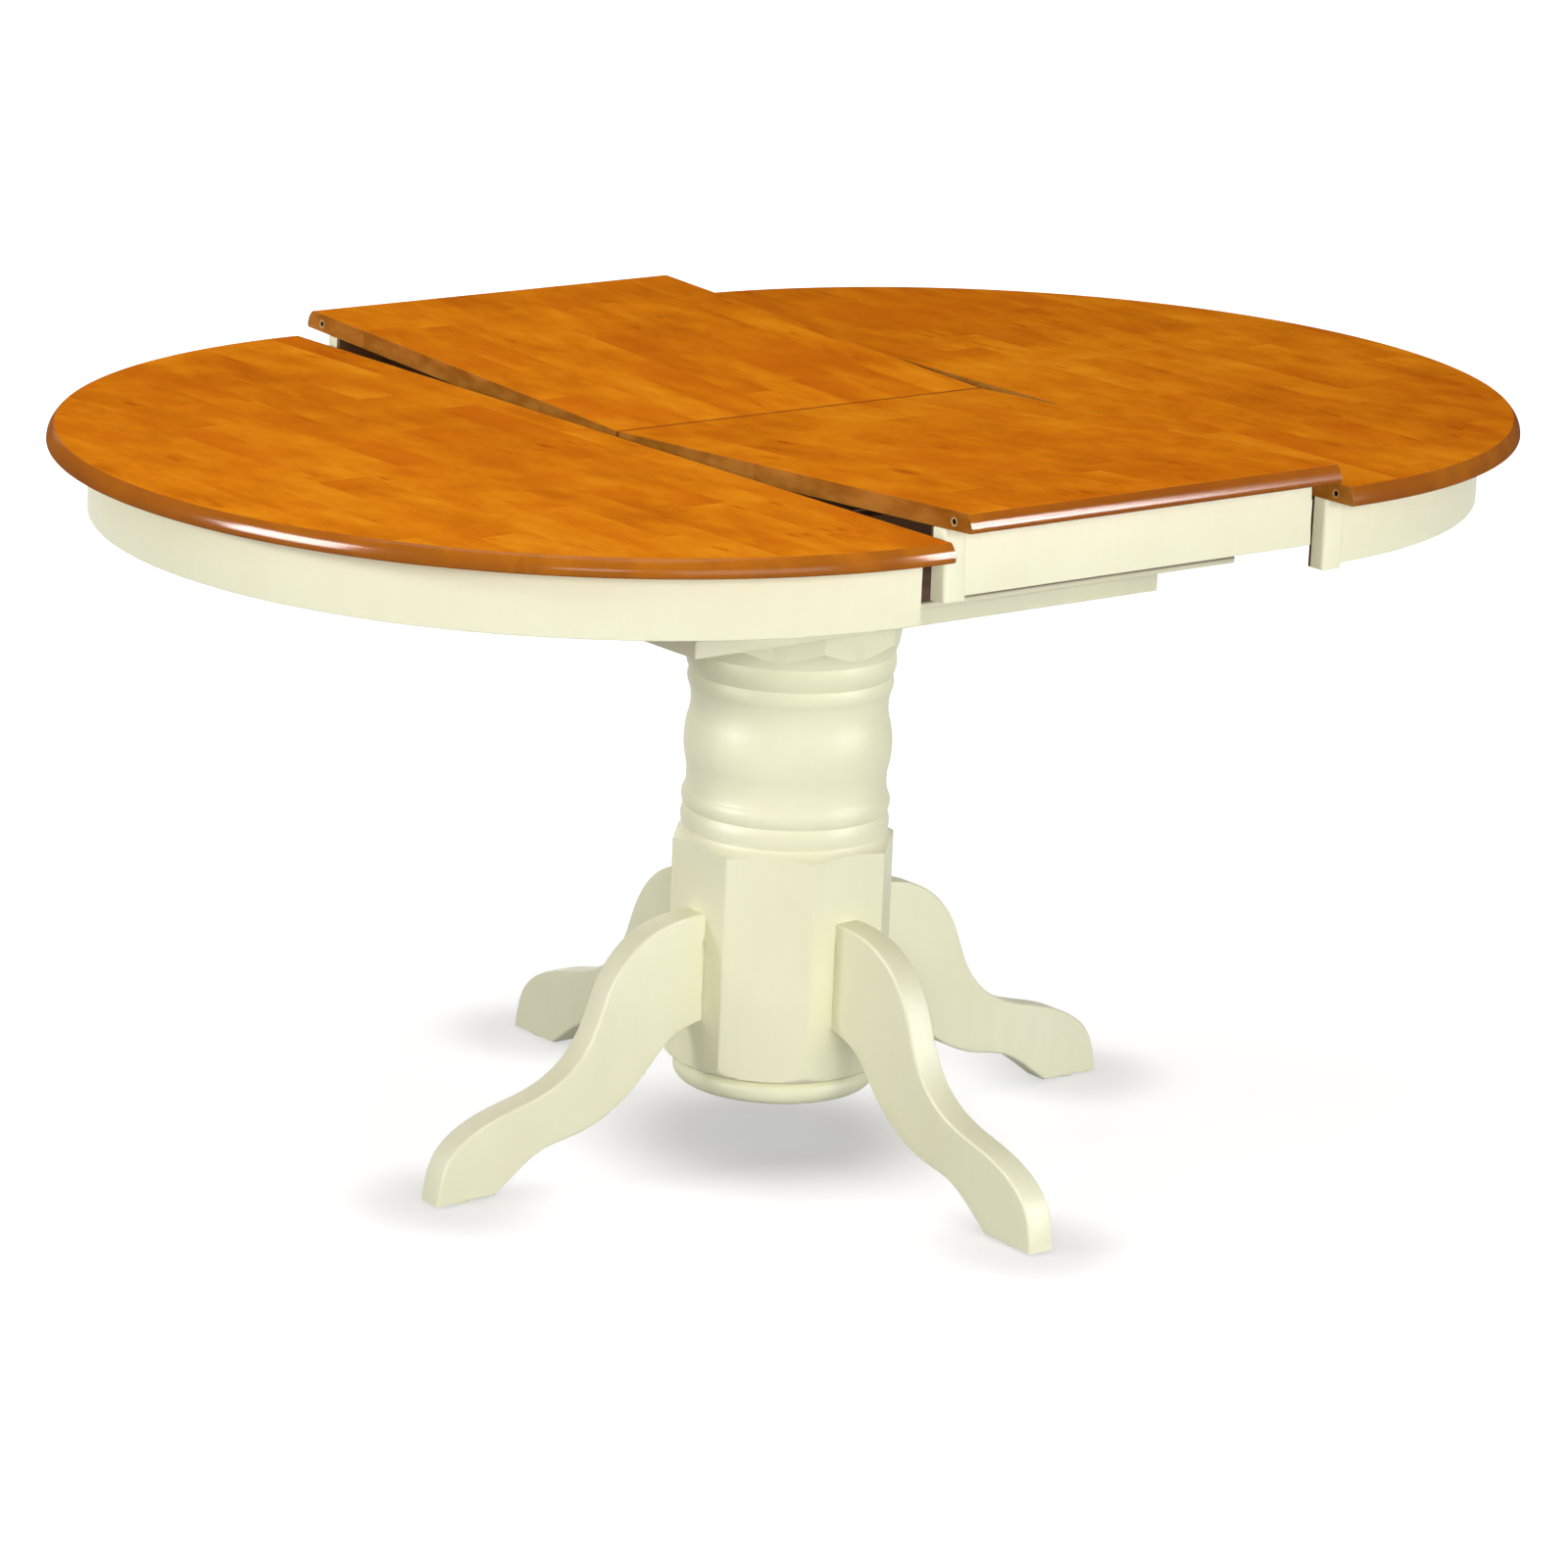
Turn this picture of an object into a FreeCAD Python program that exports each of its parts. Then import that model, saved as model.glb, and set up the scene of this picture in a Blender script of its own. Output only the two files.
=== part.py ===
import FreeCAD, Part
import math
import os
import re

# Butterfly leaf pedestal table, millimetres. The floor is z = 0, the pedestal's axis is x = y = 0,
# the halves pull apart along x, and the leaf's two wings fold about lines along x near y = 0.

doc = FreeCAD.newDocument("butterfly_leaf_table")
sheet = doc.addObject("Spreadsheet::Sheet", "Sizes")
nodes = {}
Vector = FreeCAD.Vector
NEAR = -1
FAR = 1
SIDE_NAMES = {NEAR: "near", FAR: "far"}

SIZES = {
    # Tops and leaf
    "top_height": 756, "top_thick": 18, "top_width": 1066.8, "leaf_length": 457.2, "rest_gap": 17.4,
    "edge_round": 11, "edge_ease": 3, "seam_ease": 0.8, "leaf_gap": 1.5, "leaf_lift": 2.76,
    # Aprons and the cover posts at their ends
    "apron_height": 66, "apron_thick": 18, "apron_set": 40, "post_width": 26, "post_proud": 3,
    "post_drop": 4, "post_ease": 4, "apron_short": 5, "block_length": 60, "block_deep": 20, "block_room": 0.3,
    # Alignment pins and bushes
    "pin_radius": 2.4, "pin_reach": 10, "pin_seat": 25, "pin_inset": 25.4, "pin_drop": 10,
    "pin_room": 0.6, "bush_wall": 1.3, "bush_depth": 13, "fit_room": 0.03,
    # Leaf hinges
    "hinge_depth": 7, "hinge_inset": 18, "hinge_end": 58.6, "hinge_pin_radius": 2.5,
    "hinge_pin_length": 46, "ear_radius": 4.2, "ear_thick": 6, "ear_room": 0.4, "link_base": 4,
    "link_length": 40, "run_room": 0.05,
    # Flap hinges that carry the leaf's aprons
    "flap_radius": 3, "flap_pin_radius": 1.5, "flap_drop": 4, "flap_length": 60, "flap_end": 98.6,
    "flap_plate": 2, "flap_reach": 24, "flap_room": 0.3,
    # Fixed slide rails
    "rail_inset": 150.4, "rail_thick": 25, "rail_drop": 10, "rail_height": 93, "rail_lap": 45,
    "groove_depth": 8, "groove_height": 12, "groove_drop": 33, "slide_room": 0.4,
    # Runners under the halves
    "runner_thick": 21.6, "runner_height": 58, "runner_lap": 146, "runner_room": 25,
    "stop_length": 30, "stop_height": 14, "stop_deep": 14, "stop_travel": 60, "stop_room": 0.5,
    "screw_radius": 2.5, "screw_head": 5, "screw_head_height": 4, "screw_bite": 11, "screw_sink": 30,
    "screw_pitch": 180, "screw_start": 60, "screw_room": 0.3,
    # Plate, bearers, cross rails and leaf carrier
    "plate_half_width": 216, "plate_thick": 18, "bearer_inset": 16, "bearer_width": 60,
    "bearer_half": 180, "bearer_height": 34, "cross_thick": 20, "carrier_half_width": 34,
    "carrier_drop": 34, "plate_screw_radius": 3,
    "plate_screw_head": 6.5, "plate_screw_sink": 5, "plate_screw_bite": 40,
    # Pedestal
    "flat_radius": 107.2, "corner_ease": 4, "foot_of_block": 87, "block_ease": 20, "shoulder_rise": 60,
    "neck_height": 45, "turn_set": 2.2, "blank_room": 2, "bore_flat": 75,
    "ring_bottom": 63, "ring_radius": 103, "ring_bore": 72,
    # Legs
    "leg_reach": 426, "leg_height": 254, "leg_thick": 30, "leg_ease": 3, "glide_radius": 12,
    "glide_thick": 2.5, "glide_inset": 34, "bolt_radius": 4, "bolt_room": 0.5, "bolt_bite": 50,
    "bolt_tail": 16, "bolt_drop": 26, "bolt_spacing": 58, "washer_radius": 12, "washer_thick": 2,
    "nut_flat": 7, "nut_thick": 7,
    # One overrun for all cuts
    "overrun": 5,
}

for row, (alias, value) in enumerate(SIZES.items(), start=1):
    sheet.set("A%d" % row, alias)
    sheet.set("B%d" % row, str(value))
    sheet.setAlias("B%d" % row, alias)
doc.recompute()


# Expressions name cells of the sheet by their aliases
def cells(text):
    return re.sub(r"\b([a-z]+_[a-z_]+|overrun)\b", r"Sizes.\1", str(text))


def size(alias):
    return float(sheet.get(alias))


def bind(thing, prop, text):
    thing.setExpression(prop, cells(text))


def place(thing, x, y, z):
    bind(thing, "Placement.Base.x", x)
    bind(thing, "Placement.Base.y", y)
    bind(thing, "Placement.Base.z", z)
    return thing


def block(name, x_low, x_high, y_low, y_high, z_low, z_high, side=FAR):
    thing = doc.addObject("Part::Box", name)
    bind(thing, "Length", "(%s) - (%s)" % (x_high, x_low))
    bind(thing, "Width", "(%s) - (%s)" % (y_high, y_low))
    bind(thing, "Height", "(%s) - (%s)" % (z_high, z_low))
    return place(thing, x_low, y_low if side == FAR else "-(%s)" % y_high, z_low)


TURNS = {"x": Vector(0, 1, 0), "y": Vector(-1, 0, 0)}


def rod(name, radius, length, x, y, z, along="z"):
    thing = doc.addObject("Part::Cylinder", name)
    bind(thing, "Radius", radius)
    bind(thing, "Height", length)
    if along in TURNS:
        thing.Placement.Rotation = FreeCAD.Rotation(TURNS[along], 90)
    return place(thing, x, y, z)


def group(name, things):
    whole = doc.addObject("Part::Compound", name)
    whole.Links = things
    return whole


def cut(name, base, tools):
    thing = doc.addObject("Part::Cut", name)
    thing.Base = base
    thing.Tool = tools[0] if len(tools) == 1 else group(name + "_tools", tools)
    return thing


def join(name, things):
    thing = doc.addObject("Part::MultiFuse", name)
    thing.Shapes = things
    return thing


def common(name, first, second):
    thing = doc.addObject("Part::Common", name)
    thing.Base = first
    thing.Tool = second
    return thing


# Rounds the edges that a test picks, with a radius per edge
def ease(name, base, radius_of):
    doc.recompute()
    thing = doc.addObject("Part::Fillet", name)
    thing.Base = base
    chosen = []
    for number, edge in enumerate(base.Shape.Edges, start=1):
        radius = radius_of(edge)
        if radius:
            chosen.append((number, radius, radius))
    thing.Edges = chosen
    return thing


def node(name, thing):
    thing.Label = name
    nodes[name] = thing
    return thing


def is_circle(edge, radius):
    return isinstance(edge.Curve, Part.Circle) and abs(edge.Curve.Radius - radius) < size("fit_room")


def is_along(edge, axis):
    return isinstance(edge.Curve, Part.Line) and abs(abs(edge.Curve.Direction.dot(axis)) - 1) < 1e-6


def mid(edge):
    return edge.valueAt((edge.FirstParameter + edge.LastParameter) / 2)


SEAM = "(leaf_length / 2 + rest_gap)"
UNDER = "(top_height - top_thick)"
HALF = "(top_width / 2)"
PIN_Y = "(top_width / 2 - pin_inset)"
PIN_Z = "(top_height - pin_drop)"
APRON_OUT = "(top_width / 2 - apron_set)"
APRON_IN = "(top_width / 2 - apron_set - apron_thick)"
APRON_LOW = "(top_height - top_thick - apron_height)"
BUSH_OUT = "(pin_radius + pin_room + bush_wall)"
RAIL_LOW = "(top_height - top_thick - rail_drop - rail_height)"
RAIL_OUT = "(top_width / 2 - apron_set - apron_thick - rail_inset)"
RAIL_IN = "(top_width / 2 - apron_set - apron_thick - rail_inset - rail_thick)"
RAIL_END = "(leaf_length / 2 + rest_gap + rail_lap)"
GROOVE_LOW = "(top_height - top_thick - groove_drop - groove_height / 2)"
GROOVE_HIGH = "(top_height - top_thick - groove_drop + groove_height / 2)"
PLATE_TOP = "(top_height - top_thick - rail_drop - rail_height - bearer_height)"
PLATE_LOW = "(top_height - top_thick - rail_drop - rail_height - bearer_height - plate_thick)"
CROSS_TOP = "(top_height - top_thick - rail_drop - rail_height + cross_thick)"
CARRIER_TOP = "(top_height - carrier_drop)"
BEARER_OUT = "(leaf_length / 2 + rest_gap - bearer_inset)"
BOLT_HEIGHTS = ("leg_height - bolt_drop - bolt_spacing", "leg_height - bolt_drop")


# Pedestal: an octagonal block top and bottom with a turned length between them
def pedestal():
    turning_shares = [
        (1.119, 0.0205), (1.045, 0.0315), (0.981, 0.067), (1.003, 0.112), (0.974, 0.161), (1.003, 0.203),
        (0.974, 0.245), (0.962, 0.290), (0.985, 0.384), (1.000, 0.469), (0.976, 0.5625), (0.951, 0.647),
        (0.974, 0.714), (0.997, 0.757), (0.971, 0.8125), (1.000, 0.860), (1.012, 0.950), (1.036, 0.968),
        (1.119, 0.985),
    ]
    low = size("foot_of_block")
    high = size("top_height") - size("top_thick") - size("rail_drop") - size("rail_height")
    high -= size("bearer_height") + size("plate_thick")
    base = size("leg_height") + size("shoulder_rise")
    rise = high - size("neck_height") - base
    points = []
    for radius_share, height_share in turning_shares:
        radius = radius_share * (size("flat_radius") - size("turn_set"))
        points.append(Vector(radius, 0, base + height_share * rise))
    blank = size("flat_radius") / math.cos(math.radians(22.5)) + size("blank_room")
    eased = size("block_ease")
    start = [
        Vector(0, 0, low), Vector(blank - eased, 0, low), Vector(blank, 0, low + eased),
        Vector(blank, 0, points[0].z),
    ]
    edges = [Part.makeLine(start[0], start[1])]
    knee = Vector(blank - eased * (1 - math.sin(math.radians(45))), 0,
                  low + eased * (1 - math.cos(math.radians(45))))
    edges.append(Part.Arc(start[1], knee, start[2]).toShape())
    edges.append(Part.makeLine(start[2], start[3]))
    edges.append(Part.makeLine(start[3], points[0]))
    for first in range(0, len(points) - 2, 2):
        edges.append(Part.Arc(points[first], points[first + 1], points[first + 2]).toShape())
    finish = [Vector(blank, 0, points[-1].z), Vector(blank, 0, high), Vector(0, 0, high)]
    corners = [points[-1]] + finish + [start[0]]
    for first, second in zip(corners, corners[1:]):
        edges.append(Part.makeLine(first, second))
    turned = doc.addObject("Part::Feature", "turned_blank")
    turned.Shape = Part.Face(Part.Wire(edges)).revolve(Vector(0, 0, 0), Vector(0, 0, 1), 360)

    prism = doc.addObject("Part::Prism", "octagon")
    prism.Polygon = 8
    bind(prism, "Circumradius", "flat_radius / cos(22.5)")
    bind(prism, "Height", PLATE_LOW + " - foot_of_block")
    prism.Placement.Rotation = FreeCAD.Rotation(Vector(0, 0, 1), 22.5)
    place(prism, 0, 0, "foot_of_block")
    upright = Vector(0, 0, 1)
    eased_prism = ease("eased_octagon", prism,
                       lambda edge: size("corner_ease") if is_along(edge, upright) else 0)
    bore = doc.addObject("Part::Prism", "bore")
    bore.Polygon = 8
    bind(bore, "Circumradius", "bore_flat / cos(22.5)")
    bind(bore, "Height", PLATE_LOW + " - foot_of_block + 2 * overrun")
    bore.Placement.Rotation = FreeCAD.Rotation(Vector(0, 0, 1), 22.5)
    place(bore, 0, 0, "foot_of_block - overrun")

    holes = [bore]
    for height in BOLT_HEIGHTS:
        for along in ("x", "y"):
            start_at = "-flat_radius - overrun"
            x, y = (start_at, 0) if along == "x" else (0, start_at)
            holes.append(rod("bolt_hole", "bolt_radius + bolt_room", "2 * (flat_radius + overrun)",
                             x, y, height, along))
    for x, y in plate_screw_places():
        holes.append(rod("pilot", "plate_screw_radius + fit_room", "plate_screw_bite + overrun", x, y,
                         PLATE_LOW + " - plate_screw_bite - fit_room"))
    shell = common("column_outside", eased_prism, turned)
    node("pedestal_column", cut("pedestal_column", shell, holes))

    ring_half = (size("foot_of_block") - size("ring_bottom")) / 2
    rim = size("ring_radius")
    inner = size("ring_bore")
    bottom = Vector(rim - ring_half, 0, size("ring_bottom"))
    crest = Vector(rim, 0, size("ring_bottom") + ring_half)
    top = Vector(rim - ring_half, 0, size("foot_of_block"))
    inner_points = [top, Vector(inner, 0, top.z), Vector(inner, 0, bottom.z), bottom]
    edges = [Part.Arc(bottom, crest, top).toShape()]
    for first, second in zip(inner_points, inner_points[1:]):
        edges.append(Part.makeLine(first, second))
    ring = doc.addObject("Part::Feature", "base_ring")
    ring.Shape = Part.Face(Part.Wire(edges)).revolve(Vector(0, 0, 0), Vector(0, 0, 1), 360)
    node("base_ring", ring)


def plate_screw_places():
    spot = "(flat_radius + bore_flat) / 2 * cos(45)"
    return [(spot, spot), (spot, "-" + spot), ("-" + spot, spot), ("-" + spot, "-" + spot)]


# Legs: four flat S-curved boards, bolted to the flats that face along x and y
LEG_TURNS = {"right": 0, "far": 90, "left": 180, "near": 270}


def leg_outline():
    upper_shares = [
        (0.0, 1.0), (0.10, 0.993), (0.26, 0.913), (0.36, 0.756), (0.41, 0.602), (0.48, 0.475),
        (0.58, 0.392), (0.746, 0.331), (0.86, 0.280), (0.956, 0.185), (1.0, 0.0),
    ]
    lower_shares = [
        (0.78, 0.0), (0.70, 0.075), (0.60, 0.148), (0.47, 0.184), (0.332, 0.256), (0.197, 0.402),
        (0.11, 0.510), (0.0, 0.555),
    ]
    reach = size("leg_reach") - size("flat_radius")
    rise = size("leg_height") - size("glide_thick")
    curves = []
    for shares in (upper_shares, lower_shares):
        spots = []
        for out_share, up_share in shares:
            x = size("flat_radius") + out_share * reach
            spots.append(Vector(x, 0, size("glide_thick") + up_share * rise))
        curve = Part.BSplineCurve()
        curve.interpolate(spots)
        curves.append((curve.toShape(), spots[0], spots[-1]))
    (upper, top, toe), (lower, heel, armpit) = curves
    return Part.Wire([upper, Part.makeLine(toe, heel), lower, Part.makeLine(armpit, top)])


def legs():
    thick = size("leg_thick")
    board = doc.addObject("Part::Feature", "leg_board")
    profile = Part.Face(leg_outline())
    profile.translate(Vector(0, -thick / 2, 0))
    board.Shape = profile.extrude(Vector(0, thick, 0))

    def long_edge(edge):
        return size("leg_ease") if isinstance(edge.Curve, Part.BSplineCurve) else 0

    eased = ease("eased_leg", board, long_edge)
    pilots = []
    for height in BOLT_HEIGHTS:
        pilots.append(rod("leg_pilot", "bolt_radius + fit_room", "bolt_bite + fit_room + overrun",
                          "flat_radius - overrun", 0, height, "x"))
    drilled = cut("drilled_leg", eased, pilots)
    bolts = []
    washers = []
    nuts = []
    glides = []
    for name, turn in LEG_TURNS.items():
        spin = FreeCAD.Placement(Vector(0, 0, 0), FreeCAD.Rotation(Vector(0, 0, 1), turn))
        leg = doc.addObject("Part::Compound", "leg_" + name)
        leg.Links = [drilled]
        leg.Placement = spin
        node("leg_" + name, leg)
        for height in BOLT_HEIGHTS:
            bolt = rod("bolt", "bolt_radius", "flat_radius - bore_flat + bolt_bite + bolt_tail",
                       "bore_flat - bolt_tail", 0, height, "x")
            washer = cut("washer", rod("disc", "washer_radius", "washer_thick",
                                       "bore_flat - washer_thick", 0, height, "x"),
                         [rod("washer_hole", "bolt_radius + fit_room", "washer_thick + 2 * overrun",
                              "bore_flat - washer_thick - overrun", 0, height, "x")])
            hexagon = doc.addObject("Part::Prism", "hexagon")
            hexagon.Polygon = 6
            bind(hexagon, "Circumradius", "nut_flat / cos(30)")
            bind(hexagon, "Height", "nut_thick")
            hexagon.Placement.Rotation = FreeCAD.Rotation(TURNS["x"], 90)
            place(hexagon, "bore_flat - washer_thick - nut_thick", 0, height)
            nut_hole = rod("nut_hole", "bolt_radius + fit_room", "nut_thick + 2 * overrun",
                           "bore_flat - washer_thick - nut_thick - overrun", 0, height, "x")
            nut = cut("nut", hexagon, [nut_hole])
            for things, thing in ((bolts, bolt), (washers, washer), (nuts, nut)):
                turned = group("turned", [thing])
                turned.Placement = spin
                things.append(turned)
        puck = rod("glide", "glide_radius", "glide_thick", "leg_reach - glide_inset", 0, 0)
        glide = group("turned_glide", [puck])
        glide.Placement = spin
        glides.append(glide)
    node("leg_bolts", group("leg_bolts", bolts))
    node("leg_washers", group("leg_washers", washers))
    node("leg_nuts", group("leg_nuts", nuts))
    node("glides", group("glides", glides))


# Frame: plate on the pedestal, bearers, cross rails, and the fixed slide rails
def frame():
    board = block("plate_board", "-" + RAIL_END, RAIL_END, "-plate_half_width", "plate_half_width",
                  PLATE_LOW, PLATE_TOP)
    holes = []
    screws = []
    for x, y in plate_screw_places():
        holes.append(rod("screw_way", "plate_screw_radius + screw_room", "plate_thick + 2 * overrun", x, y,
                         PLATE_LOW + " - overrun"))
        holes.append(rod("screw_seat", "plate_screw_head + screw_room", "plate_screw_sink + overrun", x, y,
                         PLATE_TOP + " - plate_screw_sink"))
        shank = rod("shank", "plate_screw_radius", "plate_screw_bite + plate_thick - plate_screw_sink", x, y,
                    PLATE_LOW + " - plate_screw_bite")
        head = rod("head", "plate_screw_head", "screw_head_height", x, y, PLATE_TOP + " - plate_screw_sink")
        screws.append(join("plate_screw", [shank, head]))
    node("pedestal_plate", cut("pedestal_plate", board, holes))
    node("plate_screws", group("plate_screws", screws))

    for name, x_low, x_high in (("left", "-" + BEARER_OUT, "bearer_width - " + BEARER_OUT),
                                ("right", BEARER_OUT + " - bearer_width", BEARER_OUT)):
        node("bearer_" + name, block("bearer_" + name, x_low, x_high, "-bearer_half", "bearer_half",
                                     PLATE_TOP, RAIL_LOW))
        node("cross_rail_" + name, block("cross_rail_" + name, x_low, x_high, "-" + RAIL_IN, RAIL_IN,
                                         RAIL_LOW, CROSS_TOP))

    stops = []
    for side, name in SIDE_NAMES.items():
        rail = block("rail_" + name, "-" + RAIL_END, RAIL_END, RAIL_IN, RAIL_OUT, RAIL_LOW,
                     UNDER + " - rail_drop", side)
        ends = ("-%s - overrun" % RAIL_END, RAIL_END + " + overrun")
        grooves = [
            block("groove_out", ends[0], ends[1], RAIL_OUT + " - groove_depth", RAIL_OUT + " + overrun",
                  GROOVE_LOW, GROOVE_HIGH, side),
            block("groove_in", ends[0], ends[1], RAIL_IN + " - overrun", RAIL_IN + " + groove_depth",
                  GROOVE_LOW, GROOVE_HIGH, side),
        ]
        node("fixed_rail_" + name, cut("fixed_rail_" + name, rail, grooves))
        inner_end = SEAM + " - runner_lap + stop_length + stop_travel + stop_room"
        stop_high = UNDER + " - runner_height - stop_room"
        stop_low = stop_high + " - stop_height"
        stops.append(block("stop_left", "-(%s) - stop_length" % inner_end, "-(%s)" % inner_end, RAIL_OUT,
                           RAIL_OUT + " + stop_deep", stop_low, stop_high, side))
        stops.append(block("stop_right", inner_end, "(%s) + stop_length" % inner_end,
                           RAIL_IN + " - stop_deep", RAIL_IN, stop_low, stop_high, side))
    node("rail_stops", group("rail_stops", stops))

    node("leaf_carrier", block("leaf_carrier", "-" + BEARER_OUT, BEARER_OUT, "-carrier_half_width",
                               "carrier_half_width", CROSS_TOP, CARRIER_TOP))


# Halves: a half-round top, its apron, glue blocks and two runners
def half_top(name, turn, centre_x, holes):
    disc = doc.addObject("Part::Cylinder", name + "_disc")
    bind(disc, "Radius", HALF)
    bind(disc, "Height", "top_thick")
    disc.Angle = 180
    disc.Placement.Rotation = FreeCAD.Rotation(Vector(0, 0, 1), turn)
    place(disc, centre_x, 0, UNDER)
    doc.recompute()
    crown = size("top_height")

    def rim(edge):
        if not is_circle(edge, size("top_width") / 2):
            return 0
        return size("edge_round") if mid(edge).z > crown - size("fit_room") else size("edge_ease")

    return cut(name, ease(name + "_eased", disc, rim), holes)


def half_ring(name, turn, centre_x):
    shells = []
    for part, radius, extra in (("out", APRON_OUT, "0"), ("in", APRON_IN, "overrun")):
        shell = doc.addObject("Part::Cylinder", name + part)
        bind(shell, "Radius", radius)
        bind(shell, "Height", "apron_height + 2 * (%s)" % extra)
        shell.Angle = 180 if part == "out" else 360
        shell.Placement.Rotation = FreeCAD.Rotation(Vector(0, 0, 1), turn)
        place(shell, centre_x, 0, APRON_LOW + " - (%s)" % extra)
        shells.append(shell)
    return cut(name, shells[0], [shells[1]])


# A cover post with its outer upright edges eased
def post(name, x_low, x_high, y_low, y_high, z_low, z_high, side, outward):
    bar = block(name + "_bar", x_low, x_high, y_low, y_high, z_low, z_high, side)
    doc.recompute()
    face = bar.Shape.BoundBox.YMax if outward > 0 else bar.Shape.BoundBox.YMin
    upright = Vector(0, 0, 1)

    def outer(edge):
        if not is_along(edge, upright) or abs(mid(edge).y - face) > size("fit_room"):
            return 0
        return size("post_ease")

    return ease(name, bar, outer)


def half(name, sign, turn, runner_low, runner_high, tongue_low, tongue_high, body_low, body_high):
    centre = SEAM if sign > 0 else "-" + SEAM
    holes = []
    screws = []
    stops = []
    half_chord = "sqrt(%s ^ 2 - (%s + slide_room + runner_thick) ^ 2)" % (APRON_IN, RAIL_OUT)
    x_ends = (SEAM + " - runner_lap", "%s + %s - runner_room" % (SEAM, half_chord))
    for side, side_name in SIDE_NAMES.items():
        x_low, x_high = x_ends if sign > 0 else ("-(%s)" % x_ends[1], "-(%s)" % x_ends[0])
        low = UNDER + " - runner_height"
        bar = block("runner_bar", x_low, x_high, body_low, body_high, low, UNDER, side)
        tongue = block("tongue", x_low, x_high, tongue_low, tongue_high,
                       GROOVE_LOW + " + slide_room", GROOVE_HIGH + " - slide_room", side)
        ways = []
        for count in range(2):
            x = "%d * (%s + screw_start + %d * screw_pitch)" % (sign, SEAM, count)
            y = "%d * (%s + %s) / 2" % (side, body_low, body_high)
            ways.append(rod("runner_way", "screw_radius + screw_room", "runner_height + 2 * overrun", x, y,
                            low + " - overrun"))
            ways.append(rod("runner_seat", "screw_head + screw_room", "screw_sink + overrun", x, y,
                            low + " - overrun"))
            head_low = low + " + screw_sink - screw_head_height"
            shank = rod("runner_shank", "screw_radius", "runner_height - screw_sink + screw_bite", x, y,
                        low + " + screw_sink")
            head = rod("runner_head", "screw_head", "screw_head_height", x, y, head_low)
            screws.append(join("runner_screw", [shank, head]))
            holes.append(rod("top_pilot", "screw_radius + fit_room", "screw_bite + fit_room + overrun", x, y,
                             UNDER + " - overrun"))
        runner = "%s_runner_%s" % (name, side_name)
        node(runner, cut(runner, join(runner + "_blank", [bar, tongue]), ways))
        stop_ends = (SEAM + " - runner_lap", SEAM + " - runner_lap + stop_length")
        stop_low, stop_high = stop_ends if sign > 0 else ("-(%s)" % stop_ends[1], "-(%s)" % stop_ends[0])
        stops.append(block("runner_stop", stop_low, stop_high, runner_low, runner_high,
                           low + " - stop_height", low, side))
        radius = BUSH_OUT + " + fit_room" if sign > 0 else "pin_radius + fit_room"
        deep = "bush_depth" if sign > 0 else "pin_seat"
        hole_x = SEAM + " - overrun" if sign > 0 else "-%s - %s" % (SEAM, deep)
        holes.append(rod("edge_hole", radius, deep + " + overrun", hole_x,
                         "%d * %s" % (side, PIN_Y), PIN_Z, "x"))
    node(name + "_runner_stops", group(name + "_runner_stops", stops))
    node(name + "_runner_screws", group(name + "_runner_screws", screws))
    node(name + "_top", half_top(name + "_top", turn, centre, holes))

    blocks = []
    for step_share in (-0.8, -0.4, 0.0, 0.4, 0.8):
        seat = "sqrt(%s ^ 2 - (block_length / 2) ^ 2) - block_room" % APRON_IN
        cleat = block("glue_block", seat + " - block_deep", seat, "-block_length / 2", "block_length / 2",
                      UNDER + " - block_deep", UNDER)
        fan = group("glue_block_turned", [cleat])
        fan.Placement.Rotation = FreeCAD.Rotation(Vector(0, 0, 1), turn + 90 + step_share * 90)
        blocks.append(place(fan, centre, 0, 0))
    node(name + "_glue_blocks", group(name + "_glue_blocks", blocks))


def left_half():
    half("left", -1, 90, RAIL_OUT + " + slide_room", RAIL_OUT + " + slide_room + stop_deep",
         RAIL_OUT + " - groove_depth + slide_room", RAIL_OUT + " + slide_room + runner_thick / 2",
         RAIL_OUT + " + slide_room", RAIL_OUT + " + slide_room + runner_thick")
    ring = half_ring("left_ring", 90, "-" + SEAM)
    end = block("left_end", "-%s - apron_short" % SEAM, "-%s + overrun" % SEAM, "-" + HALF, HALF,
                APRON_LOW + " - overrun", UNDER + " + overrun")
    node("left_apron", cut("left_apron", ring, [end]))
    pins = []
    for side in SIDE_NAMES:
        pins.append(rod("left_pin", "pin_radius", "pin_seat + pin_reach", "-%s - pin_seat" % SEAM,
                        "%d * %s" % (side, PIN_Y), PIN_Z, "x"))
    node("left_pins", group("left_pins", pins))


def bush(name, x, y, z):
    tube = rod(name + "_tube", BUSH_OUT, "bush_depth", x, y, z, "x")
    way = rod(name + "_way", "pin_radius + pin_room", "bush_depth + 2 * overrun", "(%s) - overrun" % x, y, z,
              "x")
    return cut(name, tube, [way])


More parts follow.
